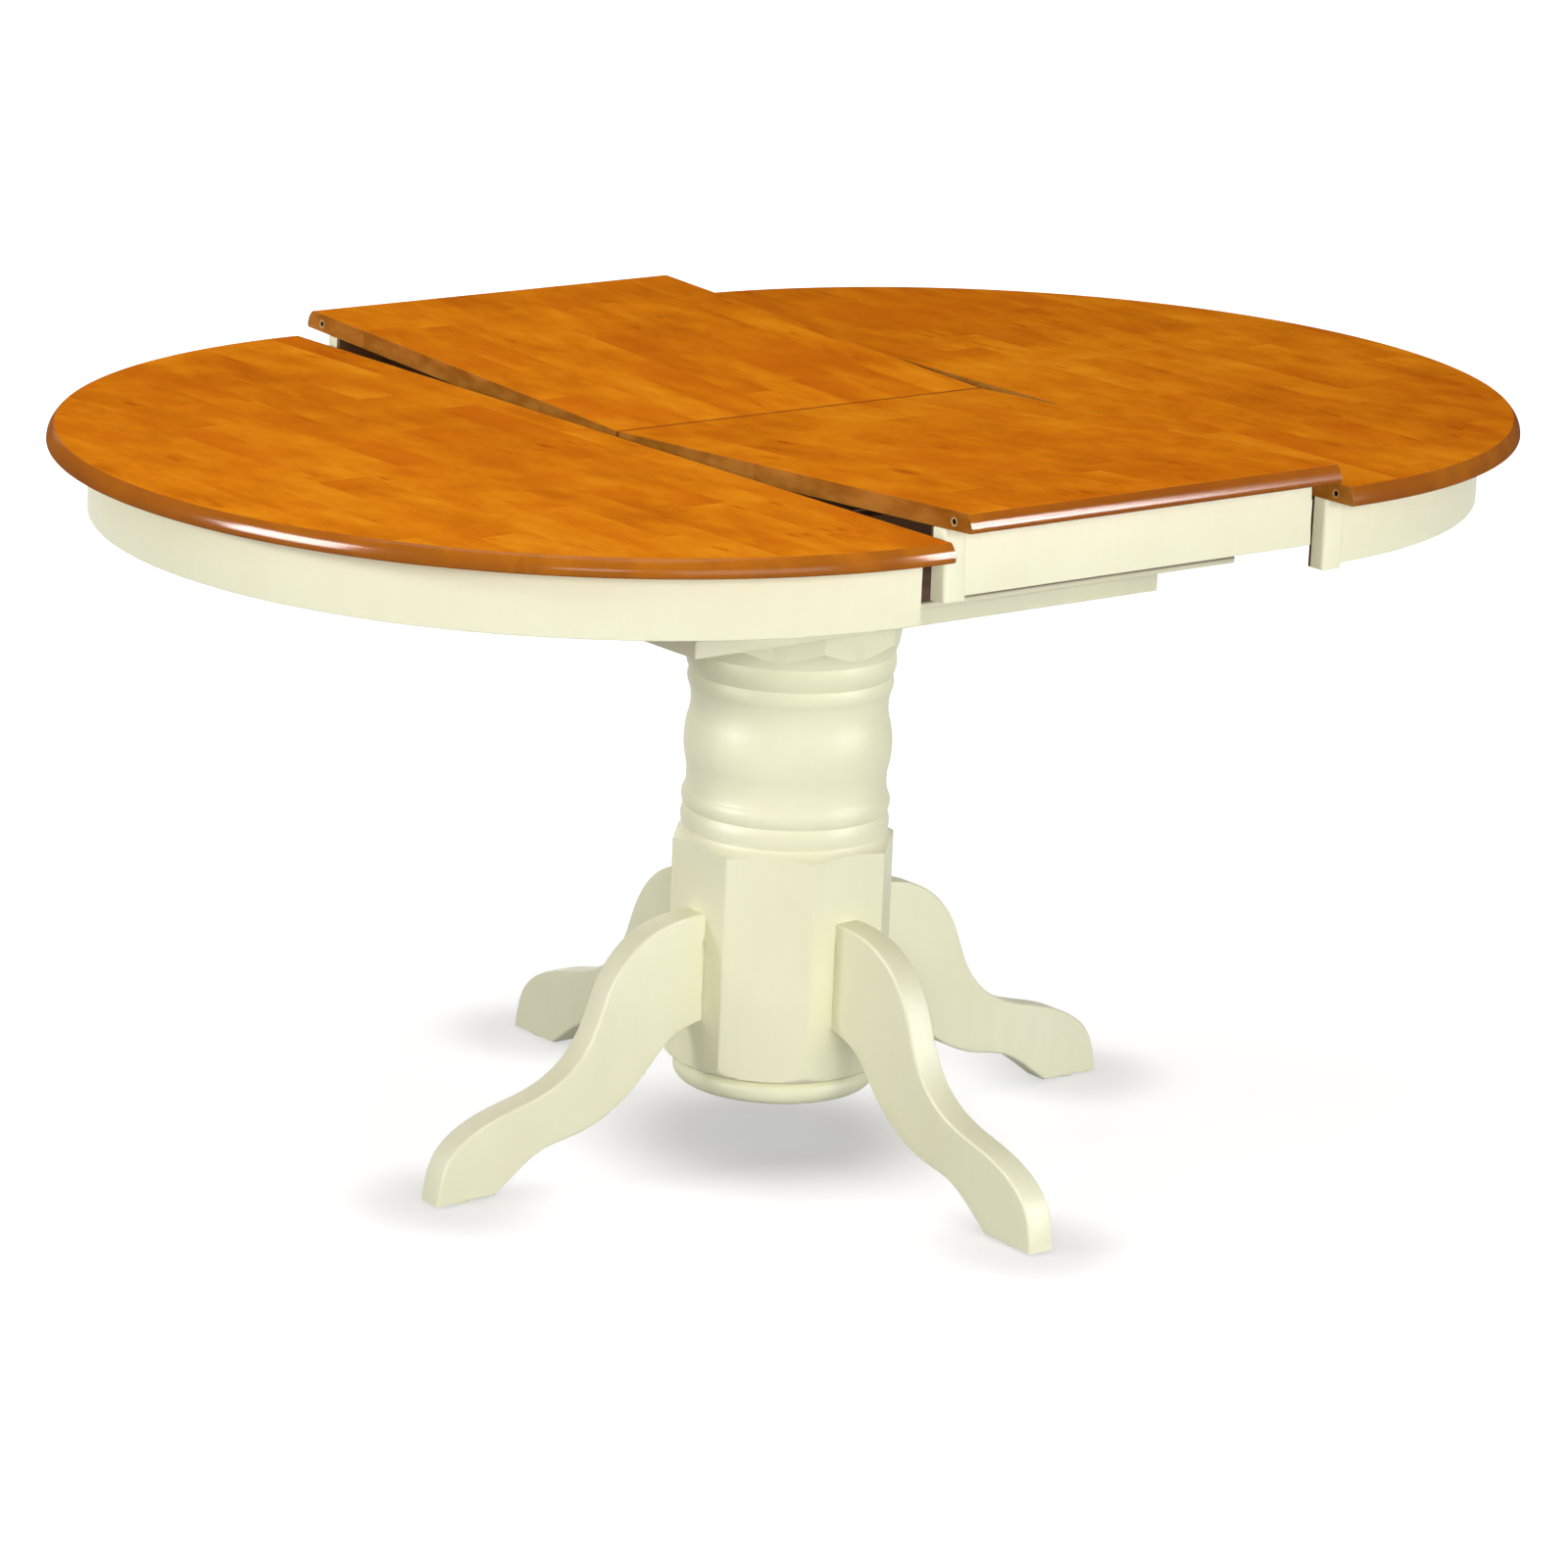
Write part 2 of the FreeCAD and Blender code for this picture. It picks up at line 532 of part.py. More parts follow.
def right_half():
    half("right", 1, 270, RAIL_IN + " - slide_room - stop_deep", RAIL_IN + " - slide_room",
         RAIL_IN + " - slide_room - runner_thick / 2", RAIL_IN + " + groove_depth - slide_room",
         RAIL_IN + " - slide_room - runner_thick", RAIL_IN + " - slide_room")
    ring = half_ring("right_ring", 270, SEAM)
    ends = []
    posts = []
    bushes = []
    for side, name in SIDE_NAMES.items():
        ends.append(block("right_end", SEAM + " - overrun", SEAM + " + post_width", "0", HALF,
                          APRON_LOW + " - overrun", UNDER + " + overrun", side))
        posts.append(post("right_post_" + name, SEAM, SEAM + " + post_width", APRON_IN,
                          APRON_OUT + " + post_proud", APRON_LOW + " - post_drop", UNDER, side, side))
        bushes.append(bush("right_bush", SEAM, "%d * %s" % (side, PIN_Y), PIN_Z))
    node("right_apron", cut("right_apron", ring, ends))
    node("right_posts", group("right_posts", posts))
    node("right_bushes", group("right_bushes", bushes))


# Leaf wings: modelled flat about their hinge pin, then lifted to the rest pose
def lifted(thing, side):
    thing.Placement = FreeCAD.Placement(Vector(0, 0, 0), FreeCAD.Rotation(Vector(1, 0, 0), side))
    bind(thing, "Placement.Rotation.Angle", "%d * leaf_lift" % side)
    return place(thing, 0, "%d * hinge_inset" % side, "top_height - hinge_depth")


WING_TOP = "hinge_depth"
WING_LOW = "(hinge_depth - top_thick)"
WING_SEAM = "(leaf_gap - hinge_inset)"
WING_OUT = "(top_width / 2 - hinge_inset)"
FLAP_OUT = "(top_width / 2 - apron_set - hinge_inset)"
FLAP_IN = "(top_width / 2 - apron_set - apron_thick - hinge_inset)"
FLAP_LOW = "(hinge_depth - top_thick - apron_height)"
FLAP_Y = "(top_width / 2 - apron_set - apron_thick - hinge_inset - flap_drop)"
FLAP_Z = "(hinge_depth - top_thick - flap_drop)"
HINGE_STEPS = (-1, 0, 1)


def wing(side):
    name = SIDE_NAMES[side]
    board = block("wing_board", "-leaf_length / 2", "leaf_length / 2", WING_SEAM, WING_OUT, WING_LOW,
                  WING_TOP, side)
    doc.recompute()
    box = board.Shape.BoundBox
    outer = box.YMax if side == FAR else box.YMin
    along = Vector(1, 0, 0)

    def edge_radius(edge):
        if not is_along(edge, along):
            return 0
        upper = mid(edge).z > size("fit_room")
        if abs(mid(edge).y - outer) < size("fit_room"):
            return size("edge_round") if upper else size("edge_ease")
        return size("seam_ease") if upper else 0

    eased = ease("wing_eased", board, edge_radius)
    holes = []
    pins = []
    for step in HINGE_STEPS:
        x = "%d * (leaf_length / 2 - hinge_end)" % step
        holes.append(block("ear_slot", x + " - ear_thick / 2 - ear_room", x + " + ear_thick / 2 + ear_room",
                           WING_SEAM + " - overrun", "ear_radius + ear_room", WING_LOW + " - overrun",
                           "ear_radius + ear_room", side))
        holes.append(rod("pin_way", "hinge_pin_radius + fit_room", "hinge_pin_length + 2 * fit_room",
                         x + " - hinge_pin_length / 2 - fit_room", 0, 0, "x"))
        pins.append(rod("hinge_pin", "hinge_pin_radius", "hinge_pin_length", x + " - hinge_pin_length / 2",
                        0, 0, "x"))
    pin_y = "%d * (%s - hinge_inset)" % (side, PIN_Y)
    pin_z = "hinge_depth - pin_drop"
    holes.append(rod("bush_hole", BUSH_OUT + " + fit_room", "bush_depth + overrun",
                     "-leaf_length / 2 - overrun", pin_y, pin_z, "x"))
    holes.append(rod("pin_hole", "pin_radius + fit_room", "pin_seat + overrun", "leaf_length / 2 - pin_seat",
                     pin_y, pin_z, "x"))
    node("leaf_" + name, lifted(cut("leaf_" + name, eased, holes), side))
    node("leaf_hinge_pins_" + name, lifted(group("leaf_hinge_pins_" + name, pins), side))
    node("leaf_bush_" + name, lifted(bush("leaf_bush_" + name, "-leaf_length / 2", pin_y, pin_z), side))
    pin = rod("leaf_pin", "pin_radius", "pin_seat + pin_reach", "leaf_length / 2 - pin_seat", pin_y, pin_z,
              "x")
    node("leaf_pin_" + name, lifted(group("leaf_pin_" + name, [pin]), side))


# Leaf aprons: flaps that fold in flat under the leaf on two butt hinges
def flap(side):
    name = SIDE_NAMES[side]
    board = block("flap_board", "post_width - leaf_length / 2", "leaf_length / 2", FLAP_IN, FLAP_OUT,
                  FLAP_LOW, WING_LOW, side)
    node("leaf_apron_" + name, lifted(group("leaf_apron_" + name, [board]), side))
    cover = post("leaf_post_bar_" + name, "-leaf_length / 2", "post_width - leaf_length / 2", FLAP_IN,
                 FLAP_OUT + " + post_proud", FLAP_LOW + " - post_drop", WING_LOW, side, side)
    node("leaf_post_" + name, lifted(group("leaf_post_" + name, [cover]), side))

    plates = []
    swings = []
    pins = []
    y = "%d * %s" % (side, FLAP_Y)
    for step in (-1, 1):
        x = "%d * (leaf_length / 2 - flap_end)" % step
        ends = (x + " - flap_length / 2", x + " + flap_length / 2")
        third = (x + " - flap_length / 6", x + " + flap_length / 6")
        way = rod("flap_way", "flap_pin_radius + run_room", "flap_length + 2 * overrun",
                  ends[0] + " - overrun", y, FLAP_Z, "x")
        barrel = rod("flap_barrel", "flap_radius", "flap_length", ends[0], y, FLAP_Z, "x")
        wide = block("flap_wide", ends[0], ends[1], FLAP_Y + " - flap_reach", FLAP_Y,
                     WING_LOW + " - flap_plate", WING_LOW, side)
        gap = block("flap_gap", third[0] + " - flap_room", third[1] + " + flap_room",
                    FLAP_Y + " - flap_radius - flap_room", FLAP_Y + " + flap_radius + flap_room",
                    FLAP_Z + " - flap_radius - flap_room", WING_LOW + " + overrun", side)
        plates.append(cut("flap_plate", join("flap_plate_blank", [barrel, wide]), [way, gap]))
        knuckle = rod("flap_knuckle", "flap_radius", "flap_length / 3", third[0], y, FLAP_Z, "x")
        wing_plate = block("flap_wing", third[0], third[1], FLAP_IN + " - flap_plate", FLAP_IN,
                           FLAP_Z + " - flap_reach", FLAP_Z, side)
        swing_way = rod("flap_swing_way", "flap_pin_radius + run_room", "flap_length", ends[0], y, FLAP_Z,
                        "x")
        bridge = block("flap_bridge", third[0], third[1], FLAP_Y, FLAP_IN, FLAP_Z + " - flap_plate", FLAP_Z,
                       side)
        swings.append(cut("flap_swing", join("flap_swing_blank", [knuckle, wing_plate, bridge]), [swing_way]))
        pins.append(rod("flap_pin", "flap_pin_radius", "flap_length", ends[0], y, FLAP_Z, "x"))
    node("flap_plates_" + name, lifted(group("flap_plates_" + name, plates), side))
    node("flap_wings_" + name, lifted(group("flap_wings_" + name, swings), side))
    node("flap_pins_" + name, lifted(group("flap_pins_" + name, pins), side))


# Hinge links: upright U-shaped brass plates on the carrier, with an ear for each wing
def hinge_links():
    links = []
    pin_z = "(top_height - hinge_depth)"
    for step in HINGE_STEPS:
        x = "%d * (leaf_length / 2 - hinge_end)" % step
        foot = block("link_foot", x + " - link_length / 2", x + " + link_length / 2", "-carrier_half_width",
                     "carrier_half_width", CARRIER_TOP, CARRIER_TOP + " + link_base")
        parts = [foot]
        ways = []
        for side in SIDE_NAMES:
            y = "%d * hinge_inset" % side
            parts.append(block("link_leg", x + " - ear_thick / 2", x + " + ear_thick / 2",
                               "hinge_inset - ear_radius", "hinge_inset + ear_radius", CARRIER_TOP, pin_z,
                               side))
            parts.append(rod("link_ear", "ear_radius", "ear_thick", x + " - ear_thick / 2", y, pin_z, "x"))
            ways.append(rod("link_way", "hinge_pin_radius + run_room", "ear_thick + 2 * overrun",
                            x + " - ear_thick / 2 - overrun", y, pin_z, "x"))
        links.append(cut("hinge_link", join("hinge_link_blank", parts), ways))
    node("hinge_links", group("hinge_links", links))


pedestal()
legs()
frame()
left_half()
right_half()
for wing_side in SIDE_NAMES:
    wing(wing_side)
    flap(wing_side)
hinge_links()
doc.recompute()

for thing in doc.Objects:
    if "Invalid" in thing.State or "Error" in thing.State:
        raise RuntimeError("%s is %s" % (thing.Label, thing.State))
for name, thing in nodes.items():
    if thing.Shape.isNull() or not thing.Shape.isValid():
        raise RuntimeError("%s has no valid shape" % name)
os.makedirs("parts", exist_ok=True)
for name, thing in nodes.items():
    thing.Shape.exportStep("parts/%s.step" % name)
    print(name, len(thing.Shape.Solids), round(thing.Shape.Volume))
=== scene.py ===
import math

import bmesh
import bpy
import numpy as np
from mathutils import Matrix, Vector


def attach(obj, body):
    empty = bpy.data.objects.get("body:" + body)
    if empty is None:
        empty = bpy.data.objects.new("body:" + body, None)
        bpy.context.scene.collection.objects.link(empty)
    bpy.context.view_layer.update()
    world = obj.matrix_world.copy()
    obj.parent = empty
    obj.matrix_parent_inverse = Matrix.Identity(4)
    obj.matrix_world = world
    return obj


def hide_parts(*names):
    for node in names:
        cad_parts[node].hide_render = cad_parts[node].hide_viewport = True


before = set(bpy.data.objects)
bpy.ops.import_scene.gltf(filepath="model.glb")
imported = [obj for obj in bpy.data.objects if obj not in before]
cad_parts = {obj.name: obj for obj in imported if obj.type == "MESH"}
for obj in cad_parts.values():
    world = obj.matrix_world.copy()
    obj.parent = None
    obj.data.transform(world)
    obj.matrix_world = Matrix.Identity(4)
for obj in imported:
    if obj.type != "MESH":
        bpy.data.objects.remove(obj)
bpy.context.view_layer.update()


# Glides: a pale plastic puck nailed under each foot, which keeps the painted toe off the floor.
# They are moulded, with a fine matt texture, and stay the plain discs of the model.
def shade(red, green, blue):
    """Linear colour of a display colour given in 0 to 255: the inverse of the sRGB curve."""
    display = np.array([red, green, blue]) / 255
    linear = np.where(display > 0.04045, ((display + 0.055) / 1.055) ** 2.4, display / 12.92)
    return (float(linear[0]), float(linear[1]), float(linear[2]), 1.0)


class Field:
    """One output of a shader node. Sums and products of fields and numbers add Math nodes."""

    def __init__(self, finish, socket):
        self.finish = finish
        self.socket = socket

    def math(self, operation, *values):
        return self.finish.node("ShaderNodeMath", {"operation": operation}, dict(enumerate(values)))

    def __add__(self, other):
        return self.math("ADD", self, other)

    def __radd__(self, other):
        return self.math("ADD", other, self)

    def __sub__(self, other):
        return self.math("SUBTRACT", self, other)

    def __rsub__(self, other):
        return self.math("SUBTRACT", other, self)

    def __mul__(self, other):
        return self.math("MULTIPLY", self, other)

    def __rmul__(self, other):
        return self.math("MULTIPLY", other, self)

    def __pow__(self, other):
        return self.math("POWER", self, other)

    def __abs__(self):
        return self.math("ABSOLUTE", self)

    def most(self, other):
        return self.math("MAXIMUM", self, other)

    def ramp(self, low, high):
        settings = {"interpolation_type": "SMOOTHSTEP"}
        return self.finish.node("ShaderNodeMapRange", settings,
                                {"Value": self, "From Min": low, "From Max": high})


class Finish:
    """A procedural material in the making, or a room's light where a world is given. node() adds
    any node and gives back one of its outputs."""

    def __init__(self, name, world=None):
        self.material = world or bpy.data.materials.new(name)
        self.material.use_nodes = True
        self.tree = self.material.node_tree
        self.shader = self.tree.nodes["Background" if world else "Principled BSDF"]

    def node(self, kind, settings, sockets, output=0):
        made = self.tree.nodes.new(kind)
        for key, value in settings.items():
            if key == "stops":
                ramp = made.color_ramp
                for stop in value[1:-1]:
                    ramp.elements.new(stop[0])
                for element, (place, colour) in zip(ramp.elements, value):
                    element.position = place
                    element.color = colour
            else:
                setattr(made, key, value)
        for key, value in sockets.items():
            self.put(made.inputs[key], value)
        return Field(self, made.outputs[output])

    def put(self, socket, value):
        if isinstance(value, Field):
            self.tree.links.new(value.socket, socket)
        else:
            socket.default_value = value

    def set(self, **sockets):
        for key, value in sockets.items():
            self.put(self.shader.inputs[key.replace("_", " ")], value)

    def place(self):
        return self.node("ShaderNodeTexCoord", {}, {}, "Object")

    def axes(self):
        return [self.node("ShaderNodeSeparateXYZ", {}, {0: self.place()}, axis)
                for axis in range(3)]

    def point(self, x, y, z):
        return self.node("ShaderNodeCombineXYZ", {}, {0: x, 1: y, 2: z})

    def noise(self, where, scale, detail=2.0, rough=0.5):
        return self.node("ShaderNodeTexNoise", {},
                         {"Vector": where, "Scale": scale, "Detail": detail, "Roughness": rough})

    def stretch(self, where, scale):
        return self.node("ShaderNodeMapping", {}, {"Vector": where, "Scale": scale})

    def blend(self, share, first, second):
        return self.node("ShaderNodeMix", {"data_type": "RGBA"}, {0: share, 6: first, 7: second}, 2)

    def bump(self, height, distance, strength=1.0):
        self.set(Normal=self.node("ShaderNodeBump", {},
                                  {"Height": height, "Distance": distance, "Strength": strength}))


def dress(finish, *names):
    """Puts a finish on nodes of the model as they are."""
    for name in names:
        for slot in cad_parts[name].material_slots:
            slot.material = finish.material


glide_plastic = Finish("glide_plastic")
speckle = glide_plastic.noise(glide_plastic.place(), 900.0)
pale = glide_plastic.blend(speckle, shade(226, 222, 200), shade(236, 233, 214))
glide_plastic.set(Base_Color=pale, Roughness=0.45 + 0.2 * speckle)
glide_plastic.bump(speckle, 0.0001)
dress(glide_plastic, "glides")


# Legs: four flat boards sawn to an S, with both long edges rounded over and sprayed cream. Each
# stands on the floor and is bolted through its wide root to a flat of the column.
leg_reach = 0.426
leg_root = 0.1072
leg_height = 0.254
leg_sole = 0.0025
leg_thick = 0.030
leg_ease = 0.003
leg_upper = np.array([(0.0, 1.0), (0.10, 0.993), (0.26, 0.913), (0.36, 0.756), (0.41, 0.602),
                      (0.48, 0.475), (0.58, 0.392), (0.746, 0.331), (0.86, 0.280),
                      (0.956, 0.185), (1.0, 0.0)])
leg_lower = np.array([(0.0, 0.555), (0.11, 0.510), (0.197, 0.402), (0.332, 0.256), (0.47, 0.184),
                      (0.60, 0.148), (0.70, 0.075), (0.78, 0.0)])


def smooth_curve(knots, count):
    """A natural cubic spline through the knots: chord lengths give the parameter, one linear system
    gives the second derivatives at the knots, and each span is the cubic that meets both. Gives
    points and tangents."""
    chord = np.concatenate([[0], np.cumsum(np.linalg.norm(np.diff(knots, axis=0), axis=1))])
    step = np.diff(chord)
    last = len(knots) - 1
    system = np.eye(last + 1)
    inner = np.arange(1, last)
    system[inner, inner - 1] = step[:-1]
    system[inner, inner] = 2 * (step[:-1] + step[1:])
    system[inner, inner + 1] = step[1:]
    slopes = np.diff(knots, axis=0) / step[:, None]
    wanted = np.zeros_like(knots)
    wanted[1:-1] = 6 * np.diff(slopes, axis=0)
    bend = np.linalg.solve(system, wanted)
    at = np.linspace(0, chord[-1], count)
    span = np.clip(np.searchsorted(chord, at, side="right") - 1, 0, last - 1)
    here = (at - chord[span])[:, None]
    width = step[span][:, None]
    first = slopes[span] - width * (2 * bend[span] + bend[span + 1]) / 6
    third = (bend[span + 1] - bend[span]) / (6 * width)
    points = knots[span] + here * first + here ** 2 * bend[span] / 2 + here ** 3 * third
    tangents = first + here * bend[span] + 3 * here ** 2 * third
    return points, tangents / np.linalg.norm(tangents, axis=1)[:, None]


def facing(grid, hint):
    """A grid of points turned so that the face at its middle looks along the hint."""
    row = grid.shape[0] // 2
    column = grid.shape[1] // 2
    across = grid[row] - grid[row - 1]
    along = grid[:, column] - grid[:, column - 1]
    normal = np.cross(across[column] + across[column - 1], along[row] + along[row - 1])
    return grid if normal @ np.array(hint, float) > 0 else grid[::-1]


def shell(name, patches, crease=32):
    """Joins grids of points into one mesh. Each cell of a grid is a quad, points that fall together
    are merged, and edges that bend by more than the crease angle stay sharp while the rest shade
    smooth."""
    corners = []
    cells = []
    count = 0
    for grid in patches:
        number = count + np.arange(grid.shape[0] * grid.shape[1]).reshape(grid.shape[:2])
        quads = np.stack([number[:-1, :-1], number[1:, :-1], number[1:, 1:], number[:-1, 1:]],
                         axis=-1)
        corners.append(grid.reshape(-1, 3))
        cells.append(quads.reshape(-1, 4))
        count += number.size
    mesh = bpy.data.meshes.new(name)
    mesh.from_pydata(np.concatenate(corners).tolist(), [], np.concatenate(cells).tolist())
    work = bmesh.new()
    work.from_mesh(mesh)
    bmesh.ops.remove_doubles(work, verts=work.verts, dist=0.00002)
    bmesh.ops.dissolve_degenerate(work, edges=work.edges, dist=0.000005)
    work.to_mesh(mesh)
    work.free()
    mesh.shade_smooth()
    mesh.set_sharp_from_angle(angle=math.radians(crease))
    piece = bpy.data.objects.new(name, mesh)
    bpy.context.scene.collection.objects.link(piece)
    return piece


def settle(piece, finish, slot, body, *nodes):
    """Gives a piece its finish, its body and the nodes of the model that it stands for."""
    piece.data.materials.append(finish.material)
    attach(piece, body)
    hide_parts(*nodes)


def between(first, second, count):
    """A grid whose rows run straight from one curve to another."""
    share = np.linspace(0, 1, count)[None, :, None]
    return first[:, None] * (1 - share) + second[:, None] * share


def leg_surfaces(turn):
    """Both long curves are carried across the thickness and drawn in by a quarter circle at each
    side, which makes the rounded long edges. Straight lines between the curves make the flat sides,
    the sole and the root."""
    scale = np.array([leg_reach - leg_root, leg_height - leg_sole])
    sweep = np.linspace(0, np.pi / 2, 7)
    half = leg_thick / 2
    drawn_in = 1 - np.sin(sweep)
    risen = 1 - np.cos(sweep)
    inset = leg_ease * np.concatenate([drawn_in, drawn_in[::-1]])
    width = np.concatenate([-half + leg_ease * risen, half - leg_ease * risen[::-1]])
    edges = []
    for shares, outward in ((leg_upper, 1), (leg_lower, -1)):
        curve, tangent = smooth_curve(shares * scale, 90)
        normal = np.stack([-tangent[:, 1], tangent[:, 0]], axis=1) * outward
        flat = curve[:, None] - inset[None, :, None] * normal[:, None]
        across = np.broadcast_to(width, flat.shape[:2])
        edges.append(np.stack([leg_root + np.maximum(flat[..., 0], 0), across,
                               leg_sole + np.maximum(flat[..., 1], 0)], axis=-1))
    upper, lower = edges
    patches = [facing(upper, (1, 0, 1)), facing(lower, (-1, 0, -1))]
    for side, hint in ((0, -1), (-1, 1)):
        patches.append(facing(between(lower[:, side], upper[:, side], 9), (0, hint, 0)))
    patches.append(facing(between(lower[-1], upper[-1], 5), (0, 0, -1)))
    patches.append(facing(between(lower[0], upper[0], 5), (-1, 0, 0)))
    cosine, sine = math.cos(turn), math.sin(turn)
    spin = np.array([[cosine, -sine, 0], [sine, cosine, 0], [0, 0, 1]])
    return [grid @ spin.T for grid in patches]


def cream_coat(finish):
    """Cream paint on wood: faint clouds and brush marks in the colour, which is given back, and a
    fine orange-peel bump with a satin gloss."""
    spot = finish.place()
    cloud = finish.noise(spot, 5.0, 3.0)
    peel = finish.noise(spot, 620.0, 2.0)
    brush = finish.noise(finish.stretch(spot, (90, 90, 12)), 1.0, 3.0)
    tint = finish.blend(cloud.ramp(0.3, 0.7), shade(243, 242, 209), shade(247, 247, 217))
    finish.set(Roughness=0.36 + 0.1 * cloud + 0.05 * peel, Specular_IOR_Level=0.13)
    finish.bump(0.6 * peel + 0.4 * brush, 0.0001, 0.4)
    return finish.blend(0.25 * brush.ramp(0.35, 0.75), tint, shade(240, 239, 203))


cream_paint = Finish("cream_paint")
cream_paint.set(Base_Color=cream_coat(cream_paint))
for name, degrees in (("right", 0), ("far", 90), ("left", 180), ("near", 270)):
    leg = shell("leg_board_" + name, leg_surfaces(math.radians(degrees)))
    settle(leg, cream_paint, "painted_wood", "pedestal", "leg_" + name)


# Base ring: one bead turned from a glued ring of wood, painted with the column that stands on it.
# It closes the foot of the hollow column and shows as a rounded lip between the legs.
ring_low = 0.063
ring_high = 0.087
ring_crest = 0.103
ring_bore = 0.072


def turned(profile, count):
    """A profile of (radius, height) points carried round the upright axis."""
    angle = np.linspace(0, 2 * np.pi, count + 1)
    radius = profile[:, 0][:, None]
    height = np.broadcast_to(profile[:, 1][:, None], (len(profile), count + 1))
    return np.stack([radius * np.cos(angle), radius * np.sin(angle), height], axis=-1)


def outward(grid):
    """A turned grid whose faces look away from the axis."""
    return facing(grid, grid[grid.shape[0] // 2, grid.shape[1] // 2] * np.array([1, 1, 0]))


bead_half = (ring_high - ring_low) / 2
bead_turn = np.linspace(-np.pi / 2, np.pi / 2, 25)
bead = np.stack([ring_crest - bead_half + bead_half * np.cos(bead_turn),
                 ring_low + bead_half + bead_half * np.sin(bead_turn)], axis=1)
bead_back = np.array([(ring_bore, ring_high), (ring_bore, ring_low), (bead[0, 0], ring_low)])
ring = shell("base_bead", [outward(turned(np.concatenate([bead, bead_back]), 128))])
settle(ring, cream_paint, "painted_wood", "pedestal", "base_ring")


# Column: eight staves glued into a hollow octagon and turned between its two square-shouldered
# ends. The lathe leaves scalloped shoulders where the round meets the flats, and beads near both
# ends.
flat_radius = 0.1072
corner_ease = 0.004
bore_flat = 0.075
block_foot = 0.087
block_ease = 0.020
turn_low = 0.314
turn_high = 0.538
column_top = 0.583
turn_radius = 0.105
blank_radius = flat_radius / math.cos(math.pi / 8) + 0.002
corner_share = 0.455
turning = np.array([(1.119, 0.0205), (1.045, 0.0315), (0.981, 0.067), (1.003, 0.112),
                    (0.974, 0.161), (1.003, 0.203), (0.974, 0.245), (0.962, 0.290),
                    (0.985, 0.384), (1.000, 0.469), (0.976, 0.5625), (0.947, 0.645),
                    (0.968, 0.712), (0.989, 0.753), (0.971, 0.788), (1.007, 0.838),
                    (0.993, 0.893), (1.026, 0.934), (1.119, 0.985)])


def arc_through(first, middle, last, count):
    """Points on the circle through three points, from the first to the last by way of the
    middle."""
    sides = np.array([middle - first, last - first])
    centre = first + np.linalg.solve(sides, (sides ** 2).sum(axis=1) / 2)
    spokes = np.array([first, middle, last]) - centre
    angles = np.unwrap(np.arctan2(spokes[:, 1], spokes[:, 0]))
    sweep = np.linspace(angles[0], angles[2], count)
    return centre + np.linalg.norm(spokes[0]) * np.stack([np.cos(sweep), np.sin(sweep)], axis=1)


def octagon(angle, flat, ease):
    """Distance from the axis to an octagon with rounded corners: the flat's distance over the
    cosine, and near a corner the far crossing of the ray with the rounding circle."""
    off_flat = np.abs((angle + np.pi / 8) % (np.pi / 4) - np.pi / 8)
    off_corner = np.pi / 8 - off_flat
    centre = (flat - ease) / math.cos(math.pi / 8)
    beyond = np.maximum(ease ** 2 - (centre * np.sin(off_corner)) ** 2, 0)
    rounded = centre * np.cos(off_corner) + np.sqrt(beyond)
    touch = math.atan((flat - ease) * math.tan(math.pi / 8) / flat)
    return np.where(off_flat > touch, rounded, flat / np.cos(off_flat))


